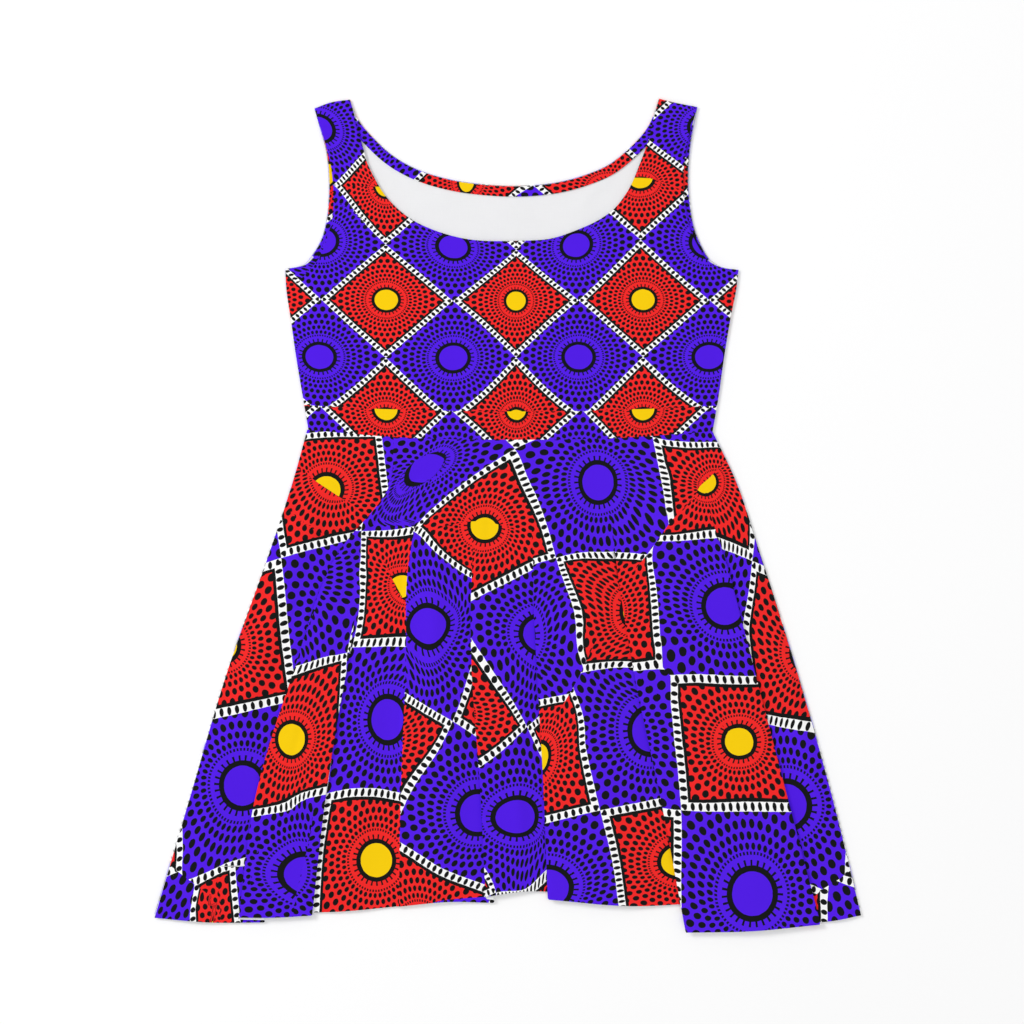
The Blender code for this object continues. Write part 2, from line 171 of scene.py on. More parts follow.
# How large a motif is where one has a round form of its own: p, q, x, y, width and height of a square there,
# and the turn of the board in degrees.
LEFT_MOTIF = (0, 0, 329.7, 485.2, 113, 111, -4)
MIDDLE_MOTIF = (2, 0, 484.4, 528, 108, 104, 53)
RIGHT_MOTIF = (2, -1, 598, 482.5, 104, 119, 80)
SIDE_MOTIF = (2, -2, 709, 485, 78, 84, 86)
TOP_MOTIFS = [LEFT_MOTIF, MIDDLE_MOTIF, RIGHT_MOTIF, SIDE_MOTIF]
SKIRT_MOTIFS = [
    [LEFT_MOTIF, (-1, 1, 221, 645.5, 130, 125, -9), (-1, 2, 242.7, 785.5, 124, 134, -10)],
    [(0, 2, 291.9, 739.3, 106, 125, -8), (0, 3, 291, 872, 118, 126, -6)],
    [(1, 1, 404, 585, 84, 90, -2), (1, 2, 387.5, 719.5, 106, 137, 0), (1, 3, 376.4, 860, 126, 137, 2)],
    [MIDDLE_MOTIF, (2, 1, 428.2, 625.5, 119, 114, 51), (3, 2, 478.3, 813.3, 123, 126, 30)],
    [MIDDLE_MOTIF, (3, 0, 541.7, 634.5, 117, 117, 60), (4, 1, 515.6, 817, 132, 109, 57)],
    [RIGHT_MOTIF, (3, -1, 637.5, 611, 116, 122, 82), (3, 0, 513.5, 634.5, 117, 117, 82),
     (4, -1, 650, 731, 120, 137, 80), (5, -1, 677, 861, 128, 118, 80), (5, 0, 549, 888, 133, 126, 78)],
    [RIGHT_MOTIF, SIDE_MOTIF, (3, -1, 600, 611, 116, 122, 88), (3, -2, 724, 606, 122, 126, 88),
     (4, -2, 738.9, 741.5, 120, 119, 86), (5, -2, 752.1, 893.2, 135, 149, 88)],
    [SIDE_MOTIF, (3, -3, 810, 654, 134, 130, 97), (4, -3, 785.5, 805.4, 140, 144, 99)],
]
# Heights on the chart from which each panel starts to leave the common chart, and where it has left it.
CHART_TURNS = [(0, 1), (600, 640), (518, 527), (528, 560), (528, 560), (512, 548), (500, 532), (492, 524)]
# Small tucks that swallow a strip of the print: the panels that one lies on, how far to either side the print
# gives way, the share of the strip taken from the right-hand side of the line, and x, y and the swallowed width
# along the line.
TUCKS = [
    ((0,), 44, 0.64, [(298, 468, 0), (308, 475.5, 14), (320, 484, 21), (332, 492, 21), (345, 500.5, 14),
        (360, 511, 0)]),
    ((1,), 36, 0.5, [(334, 548, 0), (329, 566, 22), (322, 592, 31), (313, 615, 31), (304, 638, 24),
        (298, 656, 0)]),
    ((1, 2), 20, 0.5, [(390, 494, 0), (398, 483, 2.5), (406, 470, 6), (413, 463, 9), (421, 458, 10),
        (431, 453, 6), (442, 451, 0)]),
    ((1, 2), 20, 0.5, [(396, 500, 0), (408, 490, 3), (420, 485, 7), (432, 478, 10), (439, 470, 9),
        (444, 462, 5), (447, 452, 0)]),
    ((2,), 26, 0.5, [(384, 560, 0), (388, 571, 10), (394, 582, 10), (400, 593, 10), (404, 601, 7),
        (406, 612, 0)]),
    ((3, 4), 30, 0.5, [(432, 531, 0), (450, 525, 4), (471, 521.5, 6), (485, 521.5, 6), (500, 525, 4),
        (520, 532, 0)]),
    ((1,), 50, 0.5, [(314, 806, 0), (311, 830, 12), (308, 846, 24), (303, 866, 32), (297, 892, 32),
        (292, 925, 30)]),
    ((5,), 36, 0.5, [(596, 640, 0), (588, 657, 10), (583, 668, 17), (577, 680, 18), (571, 691, 17),
        (562, 706, 9), (553, 722, 0)]),
    ((5, 6, 7), 44, 0.62, [(727, 458, 0), (716, 471, 9), (707, 480, 14), (700, 486, 14), (694, 497, 12),
        (683, 509, 12), (672, 520, 15), (663, 532, 17), (656, 542, 17), (649, 552, 15), (641, 562, 8),
        (632, 574, 0)]),
    ((6,), 28, 0.5, [(650, 654, 0), (658, 662, 6), (667, 672, 7.5), (676, 682, 6), (686, 693, 0)]),
    ((0,), 48, 0.5, [(158, 860, 0), (171, 866, 12), (180, 873, 18), (189, 879.5, 18), (199, 887, 16),
        (207, 893, 0)]),
    ((7,), 44, 0.5, [(858, 866, 6), (848, 872, 16), (838, 879.5, 18), (829, 885, 18), (820, 891, 16),
        (811, 901, 8), (804, 914, 0)]),
    ((6,), 26, 0.5, [(712, 716, 0), (723, 726.4, 3), (739, 741, 4.5), (754.4, 755, 3), (766, 766, 0)]),
]
# Parts of the hem where another part of the board lies on top: the panel, the axis that the edge runs along,
# steps of p to that part, how wide the part is, and the edge, as places along and across that axis.
HEM_TURNS = [
    (3, 0, 1, 14, [(426, 905), (436, 901.4), (448, 899.4), (467.6, 897.8), (500, 896)]),
    (0, 1, 0.53, 60, [(866, 214), (885, 218), (900, 220), (960, 222)]),
]
# The bodice lies on its corner: steps across, steps down, x, y.
BODICE_CHART = [
    (-1, -3, 317.5, 129), (0, -3, 383, 133), (4, -3, 640, 132.7), (5, -3, 704, 126), (-1, -4, 325, 72),
    (5, -4, 704, 74), (-1, -2, 332.5, 185), (0, -2, 384.5, 191), (4, -2, 640.5, 183), (5, -2, 703, 183),
    (-1, -1, 322, 242), (0, -1, 385.8, 244.4), (1, -1, 453.6, 247), (2, -1, 516.2, 250),
    (3, -1, 576, 245.5), (4, -1, 640.5, 240), (5, -1, 706, 244), (-1, 0, 321, 299.4), (0, 0, 386.4, 300),
    (1, 0, 453, 301.2), (2, 0, 516, 301), (3, 0, 578.5, 300.5), (4, 0, 643, 300), (5, 0, 709, 300),
    (-1, 1, 319.4, 357), (0, 1, 386, 357.9), (1, 1, 453.5, 357.9), (2, 1, 516, 357.5), (3, 1, 578.5, 357),
    (4, 1, 643, 357), (5, 1, 709, 357), (-1, 2, 320, 409.5), (0, 2, 386, 414.5), (1, 2, 451, 413.5),
    (1.7, 2, 499.6, 414.5), (2, 2, 516.5, 414.5), (2.3, 2, 533, 414.5), (3, 2, 581.5, 413),
    (4, 2, 643, 414.5), (5, 2, 711, 409.5), (1.7, 0, 499.4, 301), (2.3, 0, 532.6, 301), (0, 3, 386, 470),
    (4, 3, 643, 470), (2, 3, 516, 470),
]
# Tucks of the bodice, in the same columns without the panels.
BODICE_TUCKS = [
    (48, 0.5, [(288, 404, 6), (321, 406, 6), (350, 407.8, 9), (386, 409.2, 11), (420, 410, 9),
        (451, 410.9, 6.5), (484, 411.3, 9), (516, 411.5, 11), (549, 411.3, 9), (582, 410.9, 6.5),
        (614, 410, 9), (645, 409, 11), (680, 407.5, 9), (711, 406, 6), (740, 404.5, 6)]),
    (48, 0.5, [(325, 184, 0), (336, 185, 3), (350, 186, 7), (365, 186.5, 10), (385, 187, 10),
        (410, 187, 10)]),
    (48, 0.5, [(620, 179, 10), (640, 178, 11), (652, 179, 10), (665, 183, 6), (678, 189, 2),
        (690, 194, 0)]),
    (50, 1, [(331, 222, 0), (329, 232, 14), (324, 248, 26), (318, 260, 28), (308, 272, 14),
        (298, 282, 0)]),
]
# Along the neck facing: x, steps across, y of the middle of a motif there.
NECK_FACING = [
    (356, -1.75, 193.5), (385, -1.3, 194), (418, -0.88, 182), (450, -0.35, 182), (459.6, -0.17, 182),
    (466.5, 0, 182), (473.4, 0.17, 182), (500, 0.55, 184), (517, 0.82, 185), (533, 1, 185.5),
    (575, 1.55, 188), (612, 2, 191), (645, 2.5, 191), (680, 3, 191),
]
MOTIF_RED = 0.833  # size of a red motif beside a purple one

# Colours of the dyes, linear.
INK = {
    "purple": (0.084, 0.0100, 0.790),
    "purple_disc": (0.078, 0.0090, 0.770),
    "red": (0.865, 0.0200, 0.0190),
    "yellow": (0.920, 0.600, 0.0015),
    "white": (0.940, 0.940, 0.940),
    "black": (0.0052, 0.0058, 0.0058),
}
REVERSE = (0.838, 0.838, 0.852)

# --- curves and surfaces ---

TINY = 1e-9
TUCK_STEPS, RIDGE_STEPS = 30, 24


def smooth(value):
    """0 to 1 with level ends."""
    value = np.clip(value, 0.0, 1.0)
    return value * value * (3.0 - 2.0 * value)


def from_ends(at, reach):
    """0 at both ends of a panel, and 1 from a share reach inwards."""
    return smooth(np.minimum(at, 1 - at) / reach)


def hermite(knots, values, at):
    """A smooth curve through the values at the knots, read off at the given places."""
    knots, values, at = (np.asarray(numbers, float) for numbers in (knots, values, at))
    shape = (-1, *([1] * (values.ndim - 1)))
    step = np.diff(knots)
    rise = np.diff(values, axis=0) / step.reshape(shape)
    share = (step[1:] / (step[:-1] + step[1:])).reshape(shape)
    slope = np.concatenate([rise[:1], rise[:-1] * share + rise[1:] * (1.0 - share), rise[-1:]])
    k = np.clip(np.searchsorted(knots, at, side="right") - 1, 0, len(step) - 1)
    width = step[k].reshape(shape)
    t = ((at - knots[k]) / step[k]).reshape(shape)
    start = values[k] * (1 + 2 * t) * (1 - t) ** 2 + slope[k] * width * t * (1 - t) ** 2
    end = values[k + 1] * t * t * (3 - 2 * t) - slope[k + 1] * width * t * t * (1 - t)
    return start + end


def running(steps):
    """The sums of the steps so far, from nothing to all of them."""
    return np.concatenate([[0.0], np.cumsum(steps)])


def lengths_along(outline):
    """How far along an outline each of its points lies."""
    return running(np.linalg.norm(np.diff(outline, axis=0), axis=1))


def along(outline, at):
    """Points at the given fractions of the length of an outline, which x and y alone measure."""
    outline = np.asarray(outline, float)
    knots = lengths_along(outline[:, :2])
    return hermite(knots / knots[-1], outline, at)


def even(count):
    """Stations from 0 to 1 in equal steps."""
    return np.linspace(0.0, 1.0, count + 1)


def edged(count, edge=0.0022):
    """Even stations with one more close to each end, so that an edge can turn tightly."""
    return np.concatenate([[0.0, edge], even(count)[1:-1], [1.0 - edge, 1.0]])


def stations(count, *marks):
    """Stations of a panel's edge, with every mark among them."""
    base = edged(count)
    for mark in marks:
        base[np.abs(base - mark).argmin()] = mark
    return base


def chain(stations, *stretches):
    """Points along several outlines in a row; a stretch is (outline, the share of the stations it takes)."""
    points = np.empty((len(stations), 2))
    start = 0.0
    for k, (outline, share) in enumerate(stretches):
        last = k == len(stretches) - 1
        inside = (stations >= start - TINY) & ((stations <= start + share + TINY) | last)
        points[inside] = along(outline, np.clip((stations[inside] - start) / share, 0.0, 1.0))
        start += share
    return points


def filled(bottom, top, left, right, u, v):
    """A grid of points between four boundary curves: rows from bottom to top, columns from left to right."""
    u = u[None, :, None]
    v = v[:, None, None]
    across = (1 - u) * left[:, None] + u * right[:, None]
    up = (1 - v) * bottom[None] + v * top[None]
    lower = (1 - u) * (1 - v) * bottom[0] + u * (1 - v) * bottom[-1]
    return across + up - (lower + (1 - u) * v * top[0] + u * v * top[-1])


def columns_of(*parts):
    """Arrays side by side, as the columns of one."""
    return np.stack(parts, axis=-1)


def raised(plan, level):
    """A grid of points in space from a grid of x, y and the height at each."""
    return np.concatenate([plan, level[:, :, None]], axis=2)


def unit(vectors):
    """The same directions at a length of 1."""
    return vectors / np.maximum(np.linalg.norm(vectors, axis=-1, keepdims=True), TINY)


def nearest(fine, x, y):
    """Where a line comes nearest to each point: the distance, the stretch of the line, the share of it."""
    best = np.full(np.shape(x), np.inf)
    stretch = np.zeros(np.shape(x), int)
    share = np.zeros(np.shape(x))
    for k, (start, stop) in enumerate(zip(fine[:, :2], fine[1:, :2])):
        step = stop - start
        t = np.clip(((x - start[0]) * step[0] + (y - start[1]) * step[1]) / (step @ step), 0.0, 1.0)
        distance = np.hypot(x - start[0] - t * step[0], y - start[1] - t * step[1])
        nearer = distance < best - TINY
        best = np.where(nearer, distance, best)
        stretch = np.where(nearer, k, stretch)
        share = np.where(nearer, t, share)
    return best, stretch, share


def ridge(x, y, line, width, height, fade):
    """A soft ridge, or a trough where height is negative, along a line of x, y points."""
    fine = along(line, even(RIDGE_STEPS))
    lengths = lengths_along(fine)
    distance, stretch, share = nearest(fine, x, y)
    place = lengths[stretch] + share * (lengths[stretch + 1] - lengths[stretch])
    ends = smooth(place / fade) * smooth((lengths[-1] - place) / fade)
    return height * ends * np.exp(-((distance / width) ** 2))


def relief(x, y, creases, fade):
    """The ridges and troughs of one table together; each dies out over fade at its ends."""
    return sum(ridge(x, y, *crease, fade) for crease in creases)


def wandering(x, y, waves):
    """Slow unevenness of the cloth: a few crossing waves of (length, direction in degrees, phase, height)."""
    total = np.zeros(np.shape(x))
    for length, direction, phase, height in waves:
        angle = math.radians(direction)
        total += height * np.sin(2 * np.pi * (x * math.cos(angle) + y * math.sin(angle)) / length + phase)
    return total


# --- places on the board ---

SPLINE_UNIT = 100.0  # chart places are divided by this, which keeps the spline's numbers near 1
MOTIF_STEPS = (-0.25, -0.15, 0.15, 0.25)
FAR = 1e3


def to_chart(points):
    """Chart places of points in millimetres."""
    x = points[..., 0] / CHART_UNIT + CHART_ORIGIN[0]
    y = CHART_ORIGIN[1] - points[..., 1] / CHART_UNIT
    return x, y


class Chart:
    """A thin plate spline from chart places to places on the board."""

    def __init__(self, knots, stiffness=0.002):
        knots = np.asarray(knots, float)
        self.knots = knots[:, 2:] / SPLINE_UNIT
        count = len(knots)
        system = np.zeros((count + 3, count + 3))
        system[:count, :count] = self.kernel(self.knots) + stiffness * np.eye(count)
        affine = np.concatenate([np.ones((count, 1)), self.knots], axis=1)
        system[:count, count:] = affine
        system[count:, :count] = affine.T
        wanted = np.zeros((count + 3, 2))
        wanted[:count] = knots[:, :2]
        self.weights = np.linalg.solve(system, wanted)

    def kernel(self, at):
        squared = ((at[:, None] - self.knots[None]) ** 2).sum(axis=2)
        return 0.5 * squared * np.log(np.maximum(squared, 1e-12))  # the least keeps the log finite

    def __call__(self, x, y):
        at = columns_of(np.ravel(x), np.ravel(y)) / SPLINE_UNIT
        affine = np.concatenate([np.ones((len(at), 1)), at], axis=1)
        count = len(self.knots)
        board = self.kernel(at) @ self.weights[:count] + affine @ self.weights[count:]
        return board.reshape(*np.shape(x), 2)


def motif_knots(motifs):
    """A knot in the middle of each motif and eight more around it."""
    knots = []
    for p, q, x, y, wide, high, turn in motifs:
        cos, sin = math.cos(math.radians(turn)), math.sin(math.radians(turn))
        knots.append((p, q, x, y))
        for step in MOTIF_STEPS:
            knots.append((p + step, q, x + step * wide * cos, y + step * high * sin))
            knots.append((p, q + step, x - step * wide * sin, y + step * high * cos))
    return knots


def chart_of(knots, motifs):
    """The chart through a table of knots, where motifs say how the board lies around their own middles."""
    middles = [motif[:2] for motif in motifs]
    return Chart([knot for knot in knots if knot[:2] not in middles] + motif_knots(motifs))


def on_corner(across, down):
    """p and q on a board that lies on its corner, from steps across and down."""
    return (across + down) / 2, (across - down) / 2


def bodice_chart(stiffness=0.002):
    return Chart([(*on_corner(across, down), x, y) for across, down, x, y in BODICE_CHART], stiffness)


def by_tuck(line, x, y):
    """Signed distance to a tuck's line, the line's normal and the swallowed width there."""
    fine = along(line, even(TUCK_STEPS))
    steps = np.diff(fine[:, :2], axis=0)
    normals = unit(columns_of(-steps[:, 1], steps[:, 0]))
    distance, stretch, share = nearest(fine, x, y)
    normal, start, stop = normals[stretch], fine[stretch], fine[stretch + 1]
    away = (x - start[..., 0]) * normal[..., 0] + (y - start[..., 1]) * normal[..., 1]
    swallowed = start[..., 2] + share * (stop[..., 2] - start[..., 2])
    return np.where(away > 0, distance, -distance), normal, np.maximum(swallowed, 0.0)


def laid(read, x, y, tucks):
    """The board as it shows where tucks swallow strips of it.

    It is given as it is here, before the nearest tuck and past it, with how far past it each point is.
    """
    shift = np.zeros((*np.shape(x), 2))
    mine = np.zeros((*np.shape(x), 2))
    past = np.full(np.shape(x), -FAR)
    for reach, plus, line in tucks:
        distance, normal, swallowed = by_tuck(line, x, y)
        fade = swallowed * np.clip(1 - np.abs(distance) / reach, 0.0, 1.0)
        ahead, behind = (fade * plus)[..., None] * normal, (fade * (plus - 1))[..., None] * normal
        beyond = (distance > 0)[..., None]
        shift += np.where(beyond, ahead, behind)
        closer = np.abs(distance) < np.minimum(np.abs(past), reach)
        past = np.where(closer, distance, past)
        mine = np.where(closer[..., None], np.where(beyond, behind - ahead, ahead - behind), mine)
    own = read(x + shift[..., 0], y + shift[..., 1])
    crossed = shift + mine
    other = read(x + crossed[..., 0], y + crossed[..., 1])
    beyond = (past > 0)[..., None]
    return own, np.where(beyond, other, own), np.where(beyond, own, other), past


def by_edges(past):
    """Points that have a neighbour on the other side of a tuck."""
    beyond = past > 0
    near = np.zeros(past.shape, bool)
    for rows in (-1, 0, 1):
        for columns in (-1, 0, 1):
            near |= np.roll(beyond, (rows, columns), axis=(0, 1)) != beyond
    return near


def with_size(board):
    """p, q and the size of a red motif there."""
    return np.concatenate([board, np.full((*board.shape[:-1], 1), MOTIF_RED)], axis=-1)


def tucked_board(read, x, y, tucks):
    """Both layers of a shell's board: what shows here, and what is past the nearest tuck."""
    own, before, after, past = laid(read, x, y, tucks)
    near = by_edges(past)[..., None]
    second = np.concatenate([np.where(near, after, own), past[..., None]], axis=-1)
    return with_size(np.where(near, before, own)), second


# --- shells ---

# The rounded edge of a shell, ring by ring: how far out in thicknesses, and how far up in half thicknesses.
EDGE_RINGS = ((0.32, 0.6), (0.45, 0.0), (0.32, -0.6))
# Rows of the bake map: the printed side, the plain side, and strips for the edge from EDGE_ROW upwards.
PRINTED_ROWS, PLAIN_ROWS = (0.075, 0.955), (0.004, 0.066)
EDGE_ROW, EDGE_STRIP, MAP_MARGIN = 0.962, 0.008, 0.006


def rim_of(grid):
    """Numbers of a grid's points, those around its edge in order, and the way outward at each of these."""
    index = np.arange(grid[..., 0].size).reshape(grid.shape[:2])
    loop = np.concatenate([index[0, :-1], index[:-1, -1], index[-1, :0:-1], index[:0:-1, 0]])
    outward = np.zeros(grid.shape)
    for end, inner in ((0, 1), (-1, -2)):
        outward[end] += grid[end] - grid[inner]
        outward[:, end] += grid[:, end] - grid[:, inner]
    return index, loop, unit(outward.reshape(-1, 3)[loop])


def map_for_bake(mesh, grid, squares, around, printed_up):
    """UV places: both sides laid out whole, one above the other, and the strips of the edge over them."""
    across = np.linalg.norm(np.diff(grid, axis=1), axis=2).mean(axis=0)
    up = np.linalg.norm(np.diff(grid, axis=0), axis=2).mean(axis=1)
    s, t = np.meshgrid(running(across) / across.sum(), running(up) / up.sum())
    place = np.zeros((2 * len(squares) + (len(EDGE_RINGS) + 1) * around, 4, 2))
    spans = (PRINTED_ROWS, PLAIN_ROWS) if printed_up else (PLAIN_ROWS, PRINTED_ROWS)
    for k, ((low, high), order) in enumerate(zip(spans, ([0, 1, 2, 3], [0, 3, 2, 1]))):
        side = columns_of(MAP_MARGIN + (1 - 2 * MAP_MARGIN) * s, low + (high - low) * t).reshape(-1, 2)
        place[k * len(squares):(k + 1) * len(squares)] = side[squares[:, order]]
    ring = np.linspace(MAP_MARGIN, 1 - MAP_MARGIN, around + 1)
    for k, strip in enumerate(np.split(place[2 * len(squares):], len(EDGE_RINGS) + 1)):
        strip[:, :2, 0], strip[:, 2:, 0] = ring[:-1, None], ring[1:, None]
        strip[:, [0, 3], 1], strip[:, [1, 2], 1] = EDGE_ROW + EDGE_STRIP * k, EDGE_ROW + EDGE_STRIP * (k + 1)
    mesh.uv_layers.new(name="OFBake").data.foreach_set("uv", place.astype(np.float32).ravel())


def shell(name, grid, thickness, board, second, printed_up, materials):
    """A thin closed sheet with a rounded edge around a grid of middle points.

    board holds p, q and the motif's size at each point; second holds p, q of the board past a tuck in the
    print, and how far past it each point is, and is None where there is no tuck.
    """
    index, loop, outward = rim_of(grid)
    count, around = index.size, len(loop)
    middle = grid.reshape(-1, 3)
    normals = unit(np.cross(np.gradient(grid, axis=1), np.gradient(grid, axis=0)))
    offset = (normals * (thickness / 2)).reshape(-1, 3)
    rim = [middle[loop] + outward * thickness * out + offset[loop] * up for out, up in EDGE_RINGS]
    points = np.concatenate([middle + offset, middle - offset, *rim])
    corners = (index[:-1, :-1], index[:-1, 1:], index[1:, 1:], index[1:, :-1])
    squares = np.stack(corners, axis=-1).reshape(-1, 4)
    rings = [loop, *(2 * count + k * around + np.arange(around) for k in range(len(rim))), loop + count]
    edge = [columns_of(one, two, np.roll(two, -1), np.roll(one, -1)) for one, two in zip(rings, rings[1:])]
    faces = np.concatenate([squares, squares[:, [0, 3, 2, 1]] + count, *edge])
    mesh = bpy.data.meshes.new(name)
    mesh.from_pydata((points / 1000.0).tolist(), [], faces.tolist())
    mesh.update()

    for material in materials:
        mesh.materials.append(material)
    plain_side = np.zeros(len(faces), np.int32)
    first_plain = len(squares) if printed_up else 0
    plain_side[first_plain:first_plain + len(squares)] = 1
    mesh.polygons.foreach_set("material_index", plain_side)

    if second is None:
        second = np.concatenate([board[..., :2], np.full((*index.shape, 1), -1.0)], axis=2)
    for label, values in (("board", board), ("board_past", second)):
        values = values.reshape(-1, 3)
        whole = np.concatenate([values, values, *[values[loop]] * len(rim)])
        layer = mesh.attributes.new(label, "FLOAT_VECTOR", "POINT")
        layer.data.foreach_set("vector", whole.astype(np.float32).ravel())
    map_for_bake(mesh, grid, squares, around, printed_up)

    mesh.shade_smooth()
    piece = bpy.data.objects.new(name, mesh)
    bpy.context.collection.objects.link(piece)
    return piece


# --- the bodice ---

STRAP_SHARE, SIDE_SHARE = 3 / 22.0, 5 / 14.0  # of the top edge for a strap, of a side for the side seam
BODICE_FRONT_STEPS, BODICE_BACK_STEPS = (150, 110), (120, 90)
SEAM_RUN = 0.07  # share of the panel over which the front rises from a seam
STRAP_CLEAR, STRAP_RUN = 0.045, 0.03  # how far beside a strap the front lies down, and over what share
FRONT_STILL, BACK_STILL = 0.05, 0.04  # share along the edges without creases
CREASE_FADE, REVERSE_FADE, REVERSE_HIGHEST = 40.0, 18.0, 0.6
BODICE_WAVES = [(170, 20, 0.4, 0.16), (120, 100, 1.9, 0.12), (75, 62, 2.2, 0.06)]
BACK_CHART_STIFFNESS, BACK_CHART_SHIFT = 0.02, (6.0, -24.0)

# Soft ridges and troughs of the bodice front: x, y points, width, height.
BODICE_CREASES = [
    ([(-196, 130), (-150, 150), (-96, 158), (-40, 152)], 12.0, 0.55),
    ([(205, 138), (160, 160), (104, 168), (52, 160)], 13.0, -0.50),
    ([(-186, 262), (-140, 236), (-86, 224), (-30, 226)], 14.0, 0.50),
    ([(200, 258), (150, 230), (96, 214), (40, 214)], 13.0, 0.55),
    ([(-60, 288), (-66, 236), (-60, 180), (-48, 132)], 15.0, -0.45),
    ([(60, 290), (72, 236), (68, 178), (60, 128)], 16.0, 0.40),
    ([(-178, 420), (-172, 378), (-164, 330), (-150, 288)], 9.0, 0.45),
    ([(178, 424), (172, 380), (168, 332), (158, 290)], 9.0, 0.45),
    ([(-120, 96), (-112, 118), (-110, 146)], 9.0, -0.40),
    ([(128, 96), (118, 120), (114, 150)], 9.0, -0.40),
]
# Faint diagonal ridges inside the back.
REVERSE_CREASES = [
    ([(-118, 372), (-92, 346), (-60, 330)], 6.0, 0.42),
    ([(-86, 364), (-56, 336), (-20, 320)], 5.0, 0.38),
    ([(-30, 352), (2, 330), (40, 318)], 6.0, 0.40),
    ([(34, 350), (62, 330), (96, 322)], 5.0, 0.36),
    ([(116, 374), (88, 346), (70, 326)], 6.0, 0.44),
    ([(-140, 340), (-70, 280), (10, 220)], 12.0, 0.50),
    ([(150, 330), (90, 270), (30, 230)], 12.0, 0.50),
]


def bodice_plan(neck, armhole_left, armhole_right, steps):
    """Stations across and up a bodice panel, and the grid of x, y at them."""
    columns, rows = steps
    u, v = stations(columns, STRAP_SHARE, 1 - STRAP_SHARE), stations(rows, SIDE_SHARE)
    bottom = along(WAIST, u) + [0.0, SEAM_GAP]
    top = chain(u, (SHOULDER_LEFT, STRAP_SHARE), (neck, 1 - 2 * STRAP_SHARE), (SHOULDER_RIGHT, STRAP_SHARE))
    left = chain(v, (SIDE_LEFT, SIDE_SHARE), (armhole_left, 1 - SIDE_SHARE))
    right = chain(v, (SIDE_RIGHT, SIDE_SHARE), (armhole_right, 1 - SIDE_SHARE))
    left[0], right[0] = bottom[0], bottom[-1]
    return u, v, filled(bottom, top, left, right, u, v)


def bodice_lift(u, v):
    """How far the front stands off the back: nothing at the seams, more over the facings and the middle."""
    u, v = u[None, :], v[:, None]
    from_side = from_ends(u, SEAM_RUN)
    at_sides = from_side + (1 - from_side) * smooth((v - SIDE_SHARE) / SEAM_RUN)
    from_waist = smooth(v / (2 * SEAM_RUN))
    shoulder = smooth((STRAP_SHARE + STRAP_CLEAR - np.minimum(u, 1 - u)) / STRAP_RUN)
    from_shoulder = 1 - shoulder * (1 - smooth((1 - v) / SEAM_RUN))
    body = (np.sin(np.pi * u) * np.sin(np.pi * v)) ** 2
    return STRAP_LIFT * at_sides * from_waist * from_shoulder + BODICE_DOME * body


def build_bodice_front(materials):
    u, v, plan = bodice_plan(NECK_FRONT, ARMHOLE_LEFT_FRONT, ARMHOLE_RIGHT_FRONT, BODICE_FRONT_STEPS)
    x, y = plan[..., 0], plan[..., 1]
    soft = relief(x, y, BODICE_CREASES, CREASE_FADE) + wandering(x, y, BODICE_WAVES)
    inner = np.minimum(from_ends(u, FRONT_STILL)[None, :], from_ends(v, FRONT_STILL)[:, None])
    grid = raised(plan, FRONT_LEVEL + bodice_lift(u, v) + soft * inner)
    board, past = tucked_board(bodice_chart(), *to_chart(plan), BODICE_TUCKS)
    piece = shell("bodice_front_cloth", grid, CLOTH, board, past, True, materials)
    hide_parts("bodice_front")
    return piece


def build_bodice_back(materials):
    u, v, plan = bodice_plan(NECK_BACK, ARMHOLE_LEFT_BACK, ARMHOLE_RIGHT_BACK, BODICE_BACK_STEPS)
    soft = relief(plan[..., 0], plan[..., 1], REVERSE_CREASES, REVERSE_FADE)
    inner = np.minimum(from_ends(u, BACK_STILL)[None, :], from_ends(v, BACK_STILL)[:, None])
    grid = raised(plan, WALL / 2 + np.clip(soft, 0.0, REVERSE_HIGHEST) * inner)
    chart_x, chart_y = to_chart(plan)
    shift_x, shift_y = BACK_CHART_SHIFT
    board = with_size(bodice_chart(BACK_CHART_STIFFNESS)(chart_x + shift_x, chart_y + shift_y))
    piece = shell("bodice_back_cloth", grid, CLOTH, board, None, False, materials)
    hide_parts("bodice_back")
    return piece


# --- the facings ---

FACING_CLOTH, FACING_END, FACING_EDGE = 0.7, 0.002, 0.35
# Distances of a facing's rows from the edge of the back.
FACING_ROWS = [
    FACING_INSET, FACING_INSET + FACING_EDGE, 2.4, 4.2, 6.0, 7.8, 9.4,
    FACING_WIDTH - FACING_EDGE, FACING_WIDTH,
]
# Unevenness along a facing: height, angle from end to end, phase.
FACING_WAVES = [(0.12, 23.0, 0.0), (0.06, 61.0, 1.0)]
FACING_SOFTNESS = 0.8
NECK_SQUARE = 57.0  # half a diagonal of a square, in chart units
LEFT_ORIGIN, LEFT_STEPS, LEFT_SLANT = (325.0, 176.0), (64.5, 66.0), 0.0055
RIGHT_SHIFT = (-4.0, 6.0)


def neck_facing_board(x, y):
    places, across, middles = np.array(NECK_FACING, float).T
    down = (y - np.interp(x, places, middles)) / NECK_SQUARE
    return columns_of(*on_corner(np.interp(x, places, across), down))


def left_facing_board(x, y):
    x, y = x - LEFT_ORIGIN[0], y - LEFT_ORIGIN[1]
    return columns_of(*on_corner(x / LEFT_STEPS[0] + LEFT_SLANT * y, y / LEFT_STEPS[1]))


def right_facing_board(x, y):
    return bodice_chart()(x + RIGHT_SHIFT[0], y + RIGHT_SHIFT[1])


